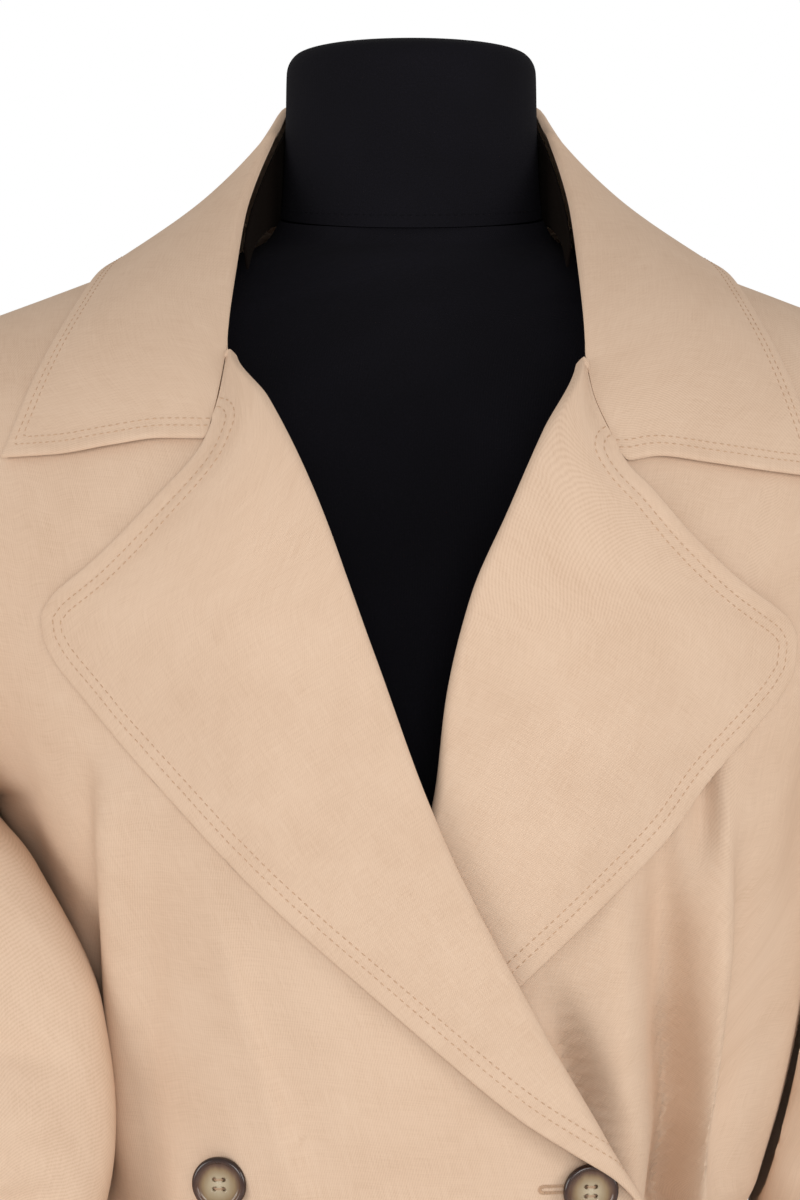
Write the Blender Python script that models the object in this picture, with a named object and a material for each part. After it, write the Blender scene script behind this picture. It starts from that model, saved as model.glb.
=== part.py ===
"""Double-breasted trench coat, open at the neck, standing on a limbless dress form.

Metres, +Z up, wearer facing -Y. The origin is the centre of the stand's underside.
Right and left are the wearer's: the right side of the coat lies at -X.
"""

import math

import bmesh
import bpy
from mathutils import Vector

# Heights of the coat's main lines.
HEM_Z = 0.32
ARMHOLE_BOTTOM_Z = 1.13
ARMHOLE_MIDDLE_Z = 1.2375
SHOULDER_POINT_Z = 1.3466
BELT_Z = 0.90

# Shoulder line: its height at one distance from the centre, and how fast it drops.
SHOULDER_REFERENCE_X = 0.158
SHOULDER_REFERENCE_Z = 1.377
SHOULDER_SLOPE = 0.38
ARMHOLE_DEPTH = 0.080
FRONT_CHEST_POWER = 1.3
BACK_BLADE_POWER = 0.8

# Thicknesses and clearances.
PANEL_WALL = 0.0018
LAPEL_WALL = 0.0024
SEAM_GAP = 0.0003
FORM_GAP = 0.0004

# How far each layer's outer face lies outside the trunk's surface.
OVERLAP_LIFT = 0.0100
OVERLAP_LIFT_SKIRT = 0.0060
OVERLAP_START_X = -0.14
OVERLAP_FULL_X = 0.02
LAPEL_LIFT = 0.0042
LAPEL_LIFT_AT_BREAK = 0.0088
INNER_LAPEL_LIFT = 0.0053
BELT_LIFT = 0.0046
BELT_WIDTH = 0.045
BELT_WALL = 0.0020

# What lies on the belt: its end, the buckle's frame and the loops.
LAYER_GAP = 0.0006
BELT_END_WALL = 0.0020
BUCKLE_WALL = 0.0030
BUCKLE_BAR = 0.16
BUCKLE_COLUMNS = 7
BUCKLE_ROWS = 3
BUCKLE_OVERHANG = 0.004
LOOP_HALF_HEIGHT = 0.028
LOOP_HALF_WIDTH = 0.007
LOOP_LIFT = 0.0050
LOOP_WALL = 0.0014

# Lapels: they roll round the fronts' edges and swell a little between roll and edge.
PANEL_EDGE_INSET = 0.0045
LAPEL_ROLL_RADIUS = 0.0045
LAPEL_LIFT_AT_ROLL = 0.0012
LAPEL_BULGE = 0.0030
LAPEL_LEAST_WIDTH = 0.0016

# Neck opening of the coat.
NECK_HALF_WIDTH = 0.0765
BACK_NECK_TURN = math.radians(62.0)

# Buttons, 40 line.
BUTTON_CLEARANCE = 0.0004
BUTTON_ROWS_Z = (0.9645, 0.80, 0.64)
BUTTON_COLUMNS_X = (-0.084, 0.078)
BUTTON_SIDES = 16

# Dress form and stand.
NECK_CENTRE_Y = 0.010
POLE_RADIUS = 0.0125
BASE_RADIUS = 0.17
BASE_HEIGHT = 0.007
FORM_BOTTOM_Z = 0.78

STEP = 0.0006


class Table:
    """Rows of measurements with named columns, read along the first one as smooth curves."""

    def __init__(self, columns, *rows):
        self.columns = columns.split()
        self.rows = rows

    def column(self, name):
        place = self.columns.index(name)
        return [row[place] for row in self.rows]

    def at(self, where, name):
        """Value of a column where the first column has the value given."""
        return smooth_read(self.column(self.columns[0]), self.column(name), where)

    def along(self, fraction, name):
        """Value of a column at a fraction of the way from the first row to the last."""
        values = self.column(name)
        return smooth_read(range(len(values)), values, fraction * (len(values) - 1))


def smooth_read(places, values, where):
    """Cubic through the values that never swings past them."""
    places = list(places)
    where = min(max(where, places[0]), places[-1])
    after = next(i for i in range(1, len(places)) if where <= places[i])
    before = after - 1
    width = places[after] - places[before]
    rise = (values[after] - values[before]) / width
    slopes = []
    for near, far in ((before - 1, before), (after, after + 1)):
        if near < 0 or far >= len(places):
            slopes.append(rise)
            continue
        beside = (values[far] - values[near]) / (places[far] - places[near])
        same_way = beside * rise > 0.0
        slopes.append(2.0 * beside * rise / (beside + rise) if same_way else 0.0)
    t = (where - places[before]) / width
    bend_in = (slopes[0] - rise) * t * (1.0 - t) ** 2
    bend_out = (rise - slopes[1]) * t * t * (1.0 - t)
    return values[before] + width * (rise * t + bend_in + bend_out)


def ramp(low, high, at):
    """0 below low, 1 above high and a smooth change between; high may be the smaller."""
    t = min(1.0, max(0.0, (at - low) / (high - low)))
    return t * t * (3.0 - 2.0 * t)


def mix(first, second, share):
    return first + (second - first) * share


# Level sections of the coat's trunk. left and right are the side seams' distances from the centre;
# rounding below 0.5 makes a full oval, 1 a pointed one.
TRUNK = Table(
    "z left right front back power rounding",
    (0.320, 0.268, 0.268, 0.205, 0.198, 2.3, 0.43),
    (0.500, 0.240, 0.240, 0.190, 0.182, 2.3, 0.43),
    (0.735, 0.205, 0.203, 0.172, 0.165, 2.3, 0.43),
    (0.790, 0.194, 0.188, 0.163, 0.156, 2.3, 0.43),
    (0.846, 0.176, 0.170, 0.147, 0.140, 2.3, 0.43),
    (0.873, 0.161, 0.156, 0.131, 0.125, 2.2, 0.44),
    (0.927, 0.161, 0.156, 0.131, 0.125, 2.2, 0.44),
    (0.945, 0.168, 0.157, 0.147, 0.130, 2.3, 0.43),
    (1.004, 0.184, 0.160, 0.158, 0.134, 2.4, 0.45),
    (1.060, 0.195, 0.174, 0.164, 0.137, 2.4, 0.50),
    (1.130, 0.205, 0.202, 0.170, 0.140, 2.5, 0.60),
    (1.2375, 0.215, 0.215, 0.170, 0.140, 2.5, 0.95),
    (1.3466, 0.226, 0.226, 0.170, 0.140, 2.5, 0.95),
)

# Main folds of the cloth: a ridge where depth is above 0, a trough below it.
# Each runs from (low_x, low_z) to (high_x, high_z) and fades out at both ends.
FRONT_FOLDS = Table(
    "low_x low_z high_x high_z width depth",
    (-0.134, 0.935, -0.142, 1.160, 0.010, 0.0100),
    (-0.151, 0.935, -0.166, 1.150, 0.011, -0.0070),
    (-0.040, 0.930, -0.086, 1.110, 0.016, 0.0045),
    (0.108, 0.935, 0.140, 1.135, 0.015, 0.0075),
    (0.134, 0.935, 0.165, 1.080, 0.013, -0.0075),
    (-0.128, 0.865, -0.160, 0.520, 0.020, 0.0110),
    (-0.145, 0.865, -0.200, 0.560, 0.018, -0.0080),
    (-0.020, 0.865, -0.030, 0.620, 0.024, -0.0050),
    (0.132, 0.865, 0.165, 0.480, 0.020, 0.0110),
    (0.150, 0.865, 0.205, 0.560, 0.018, -0.0080),
)
BACK_FOLDS = Table(
    "low_x low_z high_x high_z width depth",
    (-0.105, 0.935, -0.135, 1.130, 0.016, 0.0080),
    (-0.050, 0.935, -0.040, 1.090, 0.018, -0.0070),
    (0.012, 0.935, 0.020, 1.120, 0.018, 0.0075),
    (0.075, 0.935, 0.085, 1.100, 0.016, -0.0070),
    (0.120, 0.935, 0.150, 1.140, 0.016, 0.0080),
    (-0.120, 0.865, -0.165, 0.480, 0.024, 0.0110),
    (-0.045, 0.865, -0.055, 0.450, 0.026, -0.0100),
    (0.030, 0.865, 0.040, 0.520, 0.024, 0.0100),
    (0.100, 0.865, 0.140, 0.500, 0.024, -0.0090),
)
FOLD_FADE_Z = 0.055

# Skirt flutes: waves round the hem that die out at the belt.
FLUTES = 12
FLUTE_DEPTH_AT_HEM = 0.0085


def armhole_side_y(z):
    """How far the armhole's edge stands from the side plane, below its widest level."""
    if z <= ARMHOLE_BOTTOM_Z:
        return 0.0
    drop = (ARMHOLE_MIDDLE_Z - z) / (ARMHOLE_MIDDLE_Z - ARMHOLE_BOTTOM_Z)
    return ARMHOLE_DEPTH * math.sqrt(max(0.0, 1.0 - drop * drop))


def shoulder_z(x):
    """Height of the shoulder line at a distance from the centre."""
    return SHOULDER_REFERENCE_Z - (abs(x) - SHOULDER_REFERENCE_X) * SHOULDER_SLOPE


def turn_of(level):
    """Sine of the turn over the shoulder at a level: 0 at the armhole's middle, 1 on the seam."""
    rise = (level - ARMHOLE_MIDDLE_Z) / (SHOULDER_POINT_Z - ARMHOLE_MIDDLE_Z)
    return min(1.0, max(0.0, rise))


def level_of(x, z):
    """Level of the trunk whose surface passes through a height at this distance."""
    if z <= ARMHOLE_MIDDLE_Z:
        return z
    rise = (z - ARMHOLE_MIDDLE_Z) / (shoulder_z(x) - ARMHOLE_MIDDLE_Z)
    return mix(ARMHOLE_MIDDLE_Z, SHOULDER_POINT_Z, min(1.0, rise))


def half_width(x, level):
    """Distance of the side seam from the centre, on the side where x lies."""
    return TRUNK.at(level, "right" if x < 0.0 else "left")


def bare_trunk(side, x, level):
    """Point of the trunk's smooth surface. side is -1 in front and 1 behind."""
    section = min(level, ARMHOLE_MIDDLE_Z)
    fraction = min(1.0, abs(x) / half_width(x, level))
    edge = armhole_side_y(section)
    depth = TRUNK.at(section, "front" if side < 0 else "back")
    reach = 1.0 - fraction ** TRUNK.at(section, "power")
    y = edge + (depth - edge) * reach ** TRUNK.at(section, "rounding")
    if level <= ARMHOLE_MIDDLE_Z:
        return Vector((x, side * y, level))
    sine = turn_of(level)
    power = FRONT_CHEST_POWER if side < 0 else BACK_BLADE_POWER
    y *= math.sqrt(max(0.0, 1.0 - sine * sine)) ** power
    return Vector((x, side * y, mix(ARMHOLE_MIDDLE_Z, shoulder_z(x), sine)))


def fold_lift(side, x, level):
    """How far the main folds and flutes move the cloth outwards."""
    lift = 0.0
    for low_x, low_z, high_x, high_z, width, depth in (FRONT_FOLDS if side < 0 else BACK_FOLDS).rows:
        along = (level - low_z) / (high_z - low_z)
        inside = ramp(min(low_z, high_z), min(low_z, high_z) + FOLD_FADE_Z, level)
        inside *= ramp(max(low_z, high_z), max(low_z, high_z) - FOLD_FADE_Z, level)
        across = (x - mix(low_x, high_x, along)) / width
        lift += depth * inside * math.exp(-across * across)
    flare = ramp(0.87, HEM_Z, level)
    if flare > 0.0:
        across = min(1.0, abs(x) / half_width(x, level))
        around = math.atan2(side * math.sqrt(1.0 - across * across), math.copysign(across, x))
        wave = math.sin(FLUTES * around + 0.7 * math.sin(2.0 * around))
        flat_front = ramp(0.10, 0.15, abs(x)) if side < 0 else 1.0
        lift += FLUTE_DEPTH_AT_HEM * flare * flat_front * wave
    return lift


def trunk(side, x, level, lift=0.0, folded=True):
    """Point at a distance outside the trunk's surface, folds included."""
    inner_x = max(-half_width(-1.0, level), x - STEP)
    outer_x = min(half_width(1.0, level), x + STEP)
    low = min(level, SHOULDER_POINT_Z - 2.0 * STEP)
    across = bare_trunk(side, outer_x, level) - bare_trunk(side, inner_x, level)
    up = bare_trunk(side, x, low + STEP) - bare_trunk(side, x, low - STEP)
    normal = (across.cross(up) * -side).normalized()
    if folded:
        lift += fold_lift(side, x, level)
    return bare_trunk(side, x, level) + normal * lift


# Roll lines, where the fronts turn back, followed above the gorge by the neck seam.
ROLL_RIGHT = Table(
    "z x",
    (0.320, 0.116),
    (0.800, 0.104),
    (0.945, 0.1010),
    (0.9814, 0.0845),
    (1.0373, 0.0541),
    (1.1297, 0.0088),
    (1.1988, -0.0163),
    (1.2662, -0.0410),
    (1.3121, -0.0637),
    (1.3335, -0.0790),
    (1.3700, -0.0805),
    (1.4055, -0.0765),
)
ROLL_LEFT = Table(
    "z x",
    (0.320, -0.116),
    (0.800, -0.104),
    (0.945, -0.0990),
    (1.0000, -0.0540),
    (1.0600, -0.0180),
    (1.1350, 0.0092),
    (1.1808, 0.0150),
    (1.2256, 0.0260),
    (1.2617, 0.0418),
    (1.2979, 0.0580),
    (1.3290, 0.0736),
    (1.3700, 0.0775),
    (1.4055, 0.0765),
)

# Outer edges of the turned-back lapels, from the break up past the point to the gorge.
LAPEL_EDGE_RIGHT = Table(
    "z x",
    (0.9500, 0.0955),
    (0.9590, 0.0925),
    (0.9687, 0.0845),
    (0.9814, 0.0664),
    (0.9938, 0.0484),
    (1.0395, -0.0053),
    (1.0923, -0.0634),
    (1.1350, -0.1060),
    (1.1720, -0.1399),
    (1.1964, -0.1603),
    (1.2065, -0.1650),
    (1.2160, -0.1660),
    (1.2250, -0.1610),
    (1.2425, -0.1399),
    (1.2665, -0.1150),
    (1.2925, -0.0918),
    (1.3127, -0.0852),
    (1.3320, -0.0822),
)
LAPEL_EDGE_LEFT = Table(
    "z x",
    (0.9700, -0.0700),
    (0.9850, -0.0400),
    (1.0200, 0.0120),
    (1.0540, 0.0484),
    (1.0914, 0.0867),
    (1.1192, 0.1135),
    (1.1425, 0.1307),
    (1.1662, 0.1518),
    (1.1805, 0.1643),
    (1.1920, 0.1705),
    (1.2053, 0.1719),
    (1.2140, 0.1685),
    (1.2323, 0.1449),
    (1.2527, 0.1223),
    (1.2720, 0.1050),
    (1.2825, 0.0945),
    (1.2953, 0.0869),
    (1.3127, 0.0794),
    (1.3280, 0.0764),
)

# Collar from the gorge (first row) to the centre back (last row). Each end of a row is a foot on the
# trunk, given by its distance from the centre and its turn over the shoulder: 0 is the armhole's
# middle level in front, 90 the shoulder seam, 180 the same level behind. rise lifts the roll edge.
COLLAR_RIGHT = Table(
    "station neck_x neck_turn edge_x edge_turn rise",
    (0, -0.0826, 36.0, -0.1870, 25.0, 0.000),
    (1, -0.0815, 49.0, -0.1745, 39.0, 0.003),
    (2, -0.0795, 65.0, -0.1565, 62.0, 0.012),
    (3, -0.0690, 90.0, -0.1440, 90.0, 0.037),
    (4, -0.0640, 104.0, -0.1290, 109.0, 0.059),
    (5, -0.0500, 111.0, -0.1000, 125.0, 0.066),
    (6, -0.0260, 116.0, -0.0530, 134.0, 0.067),
    (7, 0.0000, 118.0, 0.0000, 138.0, 0.067),
)
COLLAR_LEFT = Table(
    "station neck_x neck_turn edge_x edge_turn rise",
    (0, 0.0770, 34.0, 0.1880, 20.0, 0.000),
    (1, 0.0768, 48.0, 0.1755, 37.0, 0.003),
    (2, 0.0758, 65.0, 0.1595, 60.0, 0.012),
    (3, 0.0690, 90.0, 0.1460, 90.0, 0.037),
    (4, 0.0640, 104.0, 0.1310, 109.0, 0.059),
    (5, 0.0500, 111.0, 0.1010, 125.0, 0.066),
    (6, 0.0260, 116.0, 0.0540, 134.0, 0.067),
    (7, 0.0000, 118.0, 0.0000, 138.0, 0.067),
)
# Ends of the collar, seen from the front: down the gorge to the notch, then out to the point.
COLLAR_END_RIGHT = Table(
    "x z",
    (-0.0826, 1.3345),
    (-0.0848, 1.3200),
    (-0.0876, 1.3060),
    (-0.0924, 1.2937),
    (-0.1120, 1.2942),
    (-0.1350, 1.2915),
    (-0.1600, 1.2880),
    (-0.1870, 1.2872),
)
COLLAR_END_LEFT = Table(
    "x z",
    (0.0770, 1.3310),
    (0.0796, 1.3150),
    (0.0860, 1.2990),
    (0.0952, 1.2840),
    (0.1100, 1.2862),
    (0.1330, 1.2836),
    (0.1600, 1.2805),
    (0.1880, 1.2780),
)
COLLAR_END_FADE = 0.22
COLLAR_LIFT = 0.0042
COLLAR_BULGE = 0.0045
COLLAR_LEAN = 0.06
COLLAR_FALL_POWER = 2.6
STAND_START = 0.24
STAND_INSET = 0.0034
STAND_FOOT_INSET = 0.0010
STAND_FOOT_LIFT = 0.0012
STAND_WALL = 0.0016
STAND_DROP = 0.0060

# Sleeve rings, from the armhole to the cuff. tilt 90 stands upright and 0 lies level.
SLEEVE_RIGHT = Table(
    "ring x y z tilt half_width half_depth",
    (0, 0.2165, 0.000, 1.2375, 90.0, 0.1080, 0.080),
    (1, 0.2400, 0.000, 1.2260, 70.0, 0.1000, 0.084),
    (2, 0.2580, -0.003, 1.1980, 50.0, 0.0780, 0.086),
    (3, 0.2550, -0.014, 1.1600, 32.0, 0.0620, 0.086),
    (4, 0.2350, -0.036, 1.1150, 16.0, 0.0550, 0.085),
    (5, 0.2060, -0.060, 1.0450, 6.0, 0.0560, 0.080),
    (6, 0.1990, -0.068, 0.9700, 0.0, 0.0570, 0.077),
    (7, 0.2080, -0.067, 0.9000, 0.0, 0.0550, 0.075),
    (8, 0.2390, -0.062, 0.8200, 0.0, 0.0530, 0.072),
    (9, 0.2670, -0.058, 0.7400, 0.0, 0.0530, 0.069),
)
SLEEVE_LEFT = Table(
    "ring x y z tilt half_width half_depth",
    (0, 0.2165, 0.000, 1.2375, 90.0, 0.1080, 0.080),
    (1, 0.2400, 0.000, 1.2260, 70.0, 0.1000, 0.084),
    (2, 0.2585, 0.001, 1.1980, 50.0, 0.0780, 0.086),
    (3, 0.2600, 0.004, 1.1600, 32.0, 0.0620, 0.086),
    (4, 0.2570, 0.010, 1.1150, 16.0, 0.0550, 0.085),
    (5, 0.2450, 0.022, 1.0450, 6.0, 0.0540, 0.082),
    (6, 0.2290, 0.030, 0.9700, 0.0, 0.0555, 0.079),
    (7, 0.2250, 0.030, 0.9000, 0.0, 0.0540, 0.077),
    (8, 0.2450, 0.022, 0.8200, 0.0, 0.0530, 0.073),
    (9, 0.2700, 0.010, 0.7400, 0.0, 0.0530, 0.069),
)
SLEEVE_GAP = 0.0009
SLEEVE_CLEARANCE = 0.0032
SLEEVE_WALL = 0.0020

# Form's torso, level by level.
FORM = Table(
    "z half_width front back",
    (0.780, 0.155, 0.100, 0.110),
    (0.860, 0.158, 0.106, 0.118),
    (0.920, 0.136, 0.098, 0.102),
    (0.985, 0.125, 0.095, 0.090),
    (1.060, 0.138, 0.110, 0.092),
    (1.150, 0.152, 0.128, 0.098),
    (1.230, 0.160, 0.112, 0.102),
    (1.300, 0.180, 0.088, 0.100),
    (1.340, 0.184, 0.072, 0.084),
    (1.3590, 0.176, 0.058, 0.066),
    (1.3700, 0.1500, 0.052, 0.060),
    (1.3830, 0.1120, 0.048, 0.058),
    (1.3920, 0.0820, 0.044, 0.060),
    (1.3980, 0.0700, 0.042, 0.063),
    (1.4080, 0.0640, 0.040, 0.064),
)
NECK = Table(
    "z half_width half_depth slope",
    (1.4084, 0.0640, 0.052, 0.20),
    (1.4250, 0.0625, 0.051, 0.12),
    (1.4550, 0.0615, 0.050, 0.03),
    (1.4800, 0.0610, 0.050, 0.00),
    (1.4890, 0.0565, 0.046, 0.00),
    (1.4930, 0.0430, 0.034, 0.00),
    (1.4945, 0.0200, 0.016, 0.00),
)
NECK_SLOPE = 0.20

BUTTON_PROFILE = Table(
    "radius height",
    (0.0085, 0.0),
    (0.0118, 0.0007),
    (0.0125, 0.0021),
    (0.0118, 0.0037),
    (0.0106, 0.0042),
    (0.0088, 0.0034),
)


def material(name, colour, roughness, metallic=0.0):
    """Principled material with one colour."""
    made = bpy.data.materials.new(name)
    made.use_nodes = True
    shader = made.node_tree.nodes["Principled BSDF"]
    shader.inputs["Base Color"].default_value = (*colour, 1.0)
    shader.inputs["Roughness"].default_value = roughness
    shader.inputs["Metallic"].default_value = metallic
    return made


def add_object(name, mesh, finish, smooth_angle=math.radians(50.0)):
    """Closes a bmesh into an object of its own."""
    bmesh.ops.recalc_face_normals(mesh, faces=mesh.faces)
    if mesh.calc_volume(signed=True) < 0.0:
        bmesh.ops.reverse_faces(mesh, faces=mesh.faces)
    data = bpy.data.meshes.new(name)
    mesh.to_mesh(data)
    mesh.free()
    data.shade_smooth()
    data.set_sharp_from_angle(angle=smooth_angle)
    data.materials.append(finish)
    made = bpy.data.objects.new(name, data)
    bpy.context.scene.collection.objects.link(made)
    return made


def cloth(name, place, columns, rows, finish, closed=False, holed=False):
    """Wall of cloth. place(u, v, inner) gives a point of its outer face, or of its inner one.

    u and v run from 0 to 1. closed joins the last column to the first; holed leaves out the middle.
    """
    mesh = bmesh.new()
    bmesh.ops.create_grid(mesh, x_segments=columns, y_segments=rows, size=0.5)
    if holed:
        middle = [face for face in mesh.faces if not any(vert.is_boundary for vert in face.verts)]
        bmesh.ops.delete(mesh, geom=middle, context="FACES")
    outer = list(mesh.faces)
    copied = bmesh.ops.extrude_face_region(mesh, geom=outer, use_keep_orig=True)
    moved = [item for item in copied["geom"] if isinstance(item, bmesh.types.BMVert)]
    bmesh.ops.translate(mesh, vec=(0.0, 0.0, 1.0), verts=moved)
    if closed:
        ends = [face for face in mesh.faces if all(abs(vert.co.x) > 0.4999 for vert in face.verts)]
        bmesh.ops.delete(mesh, geom=ends, context="FACES_ONLY")
    for vert in mesh.verts:
        vert.co = place(vert.co.x + 0.5, vert.co.y + 0.5, vert.co.z > 0.5)
    if closed:
        bmesh.ops.remove_doubles(mesh, verts=mesh.verts, dist=1e-6)
    return add_object(name, mesh, finish)


def turned(name, place, around, rows, finish):
    """Solid of rings with flat ends. place(turn, v) gives a point of its side."""
    mesh = bmesh.new()
    bmesh.ops.create_grid(mesh, x_segments=around, y_segments=rows, size=0.5)
    for vert in mesh.verts:
        vert.co = place((vert.co.x + 0.5) % 1.0, vert.co.y + 0.5)
    bmesh.ops.remove_doubles(mesh, verts=mesh.verts, dist=1e-6)
    rims = [edge for edge in mesh.edges if edge.is_boundary]
    bmesh.ops.edgeloop_fill(mesh, edges=rims)
    return add_object(name, mesh, finish, math.radians(35.0))


def overlap(level):
    """Height of the outer front over the inner one, where they lie on each other."""
    full = mix(OVERLAP_LIFT_SKIRT, OVERLAP_LIFT, ramp(0.928, 0.945, level))
    return full * ramp(1.33, 1.22, level)


def outer_lift(x, level):
    return overlap(level) * ramp(OVERLAP_START_X, OVERLAP_FULL_X, x)


def inner_lift(x, level):
    """The inner front sinks by what the outer one above it doesn't rise."""
    return outer_lift(x, level) - overlap(level)


PANEL_LEVELS = Table(
    "v level",
    (0.00, HEM_Z),
    (0.26, 0.850),
    (0.34, BELT_Z),
    (0.42, 0.945),
    (0.62, ARMHOLE_BOTTOM_Z),
    (0.79, ARMHOLE_MIDDLE_Z),
)


def panel_level(v):
    """Level of a panel's row; the rows over the shoulder are evenly turned."""
    top = PANEL_LEVELS.rows[-1][0]
    if v <= top:
        return PANEL_LEVELS.at(v, "level")
    sine = math.sin((v - top) / (1.0 - top) * math.pi / 2.0)
    return mix(ARMHOLE_MIDDLE_Z, SHOULDER_POINT_Z, sine)


def roll_x(roll, level):
    """Where a roll line or neck seam crosses a level of the trunk."""
    x = roll.at(level, "x")
    for _ in range(4):
        z = mix(ARMHOLE_MIDDLE_Z, shoulder_z(x), turn_of(level))
        x = roll.at(level if level <= ARMHOLE_MIDDLE_Z else z, "x")
    return x


def keep_side(point, side):
    """Keeps a panel on its own side of the side and shoulder seams."""
    edge = SEAM_GAP / 2.0
    point.y = min(point.y, -edge) if side < 0 else max(point.y, edge)
    return point


def front_panel(roll, sign, lift):
    """A front, from its roll line or edge to the side seam and armhole."""

    def place(u, v, inner):
        level = panel_level(v)
        start = roll_x(roll, level) + sign * PANEL_EDGE_INSET * ramp(0.928, 0.95, level)
        x = mix(start, sign * half_width(sign, level), math.sin(u * math.pi / 2.0))
        depth = lift(x, level) - (PANEL_WALL if inner else 0.0)
        return keep_side(trunk(-1, x, level, depth), -1)

    return place


def back_top_turn(fraction):
    """How far the back's column turns over the shoulder: all the way, or to the neck seam."""
    neck = NECK_HALF_WIDTH / half_width(fraction, SHOULDER_POINT_Z)
    if abs(fraction) >= neck:
        return math.pi / 2.0
    bow = math.sqrt(1.0 - (fraction / neck) ** 2)
    return mix(math.pi / 2.0, BACK_NECK_TURN, bow)


def back_panel(u, v, inner):
    """The back, from side seam to side seam."""
    fraction = math.sin((u - 0.5) * math.pi)
    top = PANEL_LEVELS.rows[-1][0]
    level = panel_level(v)
    if v > top:
        turn = back_top_turn(fraction) * (v - top) / (1.0 - top)
        level = mix(ARMHOLE_MIDDLE_Z, SHOULDER_POINT_Z, math.sin(turn))
    x = fraction * half_width(fraction, level)
    return keep_side(trunk(1, x, level, -PANEL_WALL if inner else 0.0), 1)


def lapel(roll, edge, sign, base_lift, over_break):
    """A lapel: it rolls out of the front's edge and lies back over the front."""

    def place(u, v, inner):
        z = edge.along(v, "z")
        start = roll.at(z, "x")
        end = edge.along(v, "x")
        if abs(end - start) < LAPEL_LEAST_WIDTH:
            end = start + sign * LAPEL_LEAST_WIDTH
        share = u ** 1.5
        x = mix(start, end, share)
        level = level_of(x, z)
        away = min(1.0, abs(x - start) / LAPEL_ROLL_RADIUS)
        rise = math.sqrt(1.0 - (1.0 - away) ** 2)
        height = mix(LAPEL_LIFT_AT_BREAK, LAPEL_LIFT, ramp(0.975, 1.03, z)) if over_break else INNER_LAPEL_LIFT
        height += LAPEL_BULGE * math.sin(math.pi * min(1.0, share * 1.15)) * ramp(0.03, 0.08, sign * x)
        lift = base_lift(x, level) + mix(LAPEL_LIFT_AT_ROLL, height, rise)
        return trunk(-1, x, level, lift - (LAPEL_WALL if inner else 0.0))

    return place


def over_shoulder(x, turn, lift):
    """Point of the trunk at a distance from the centre and a turn in degrees, front to back."""
    side = -1 if turn <= 90.0 else 1
    sine = math.sin(math.radians(turn if side < 0 else 180.0 - turn))
    return trunk(side, x, mix(ARMHOLE_MIDDLE_Z, SHOULDER_POINT_Z, sine), lift, False)


def collar_rise(x, y, height):
    """Leaning step from the neck seam up to the collar's roll edge."""
    to_neck = Vector((-x, NECK_CENTRE_Y - y, 0.0)).normalized()
    return (Vector((0.0, 0.0, 1.0)) + to_neck * COLLAR_LEAN) * height


def collar_point(u, v):
    """Point of the collar's outer face without its bulge; u goes right to left, v down from the roll."""
    right = u <= 0.5
    sides = COLLAR_RIGHT if right else COLLAR_LEFT
    end = COLLAR_END_RIGHT if right else COLLAR_END_LEFT
    share = 2.0 * min(u, 1.0 - u)
    x = mix(sides.along(share, "neck_x"), sides.along(share, "edge_x"), v)
    turn = mix(sides.along(share, "neck_turn"), sides.along(share, "edge_turn"), v)
    end_x = end.along(v, "x")
    end_z = end.along(v, "z")
    end_turn = math.degrees(math.asin(turn_of(level_of(end_x, end_z))))
    pull = 1.0 - ramp(0.0, COLLAR_END_FADE, share)
    x += pull * (end_x - mix(sides.along(0.0, "neck_x"), sides.along(0.0, "edge_x"), v))
    turn += pull * (end_turn - mix(sides.along(0.0, "neck_turn"), sides.along(0.0, "edge_turn"), v))
    point = over_shoulder(x, turn, COLLAR_LIFT)
    return point + collar_rise(x, point.y, sides.along(share, "rise") * (1.0 - v) ** COLLAR_FALL_POWER)


def normal_of(surface, u, v):
    """Unit normal of a surface given by two numbers from 0 to 1."""
    step = 0.004
    across = surface(min(1.0, u + step), v) - surface(max(0.0, u - step), v)
    along = surface(u, min(1.0, v + step)) - surface(u, max(0.0, v - step))
    return across.cross(along).normalized()


def collar(u, v, inner):
    bulge = COLLAR_BULGE * math.sin(math.pi * v) * ramp(0.0, COLLAR_END_FADE, 2.0 * min(u, 1.0 - u))
    depth = bulge - (LAPEL_WALL if inner else 0.0)
    return collar_point(u, v) + normal_of(collar_point, u, v) * depth


def stand_point(u, v):
    """Inner side of the collar, from the neck seam up to just under the roll edge."""
    right = u <= 0.5
    sides = COLLAR_RIGHT if right else COLLAR_LEFT
    share = mix(STAND_START, 1.0, 2.0 * min(u, 1.0 - u))
    x = sides.along(share, "neck_x")
    seam = over_shoulder(x, sides.along(share, "neck_turn"), COLLAR_LIFT)
    to_neck = Vector((-seam.x, NECK_CENTRE_Y - seam.y, 0.0)).normalized()
    top = seam + collar_rise(x, seam.y, sides.along(share, "rise"))
    top += to_neck * STAND_INSET - Vector((0.0, 0.0, STAND_DROP))
    foot = over_shoulder(x, sides.along(share, "neck_turn"), STAND_FOOT_LIFT)
    return (foot + to_neck * STAND_FOOT_INSET).lerp(top, v)


def stand(u, v, inner):
    return stand_point(u, v) + normal_of(stand_point, u, v) * (STAND_WALL if inner else 0.0)


def armhole(sign, turn):
    """Point of an armhole: turn 0 is its lowest, pi its highest, going round the front."""
    drop = -math.cos(turn)
    if drop <= 0.0:
        level = mix(ARMHOLE_MIDDLE_Z, ARMHOLE_BOTTOM_Z, -drop)
    else:
        level = mix(ARMHOLE_MIDDLE_Z, SHOULDER_POINT_Z, drop)
    side = -1 if turn < math.pi else 1
    return bare_trunk(side, sign * half_width(sign, level), level)


def side_reach(sign, y, z):
    """How far the trunk reaches to one side at a height and distance from the side plane."""
    depth = TRUNK.at(z, "front" if y < 0.0 else "back")
    reach = 1.0 - min(1.0, abs(y) / depth) ** (1.0 / TRUNK.at(z, "rounding"))
    return half_width(sign, z) * reach ** (1.0 / TRUNK.at(z, "power"))


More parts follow.
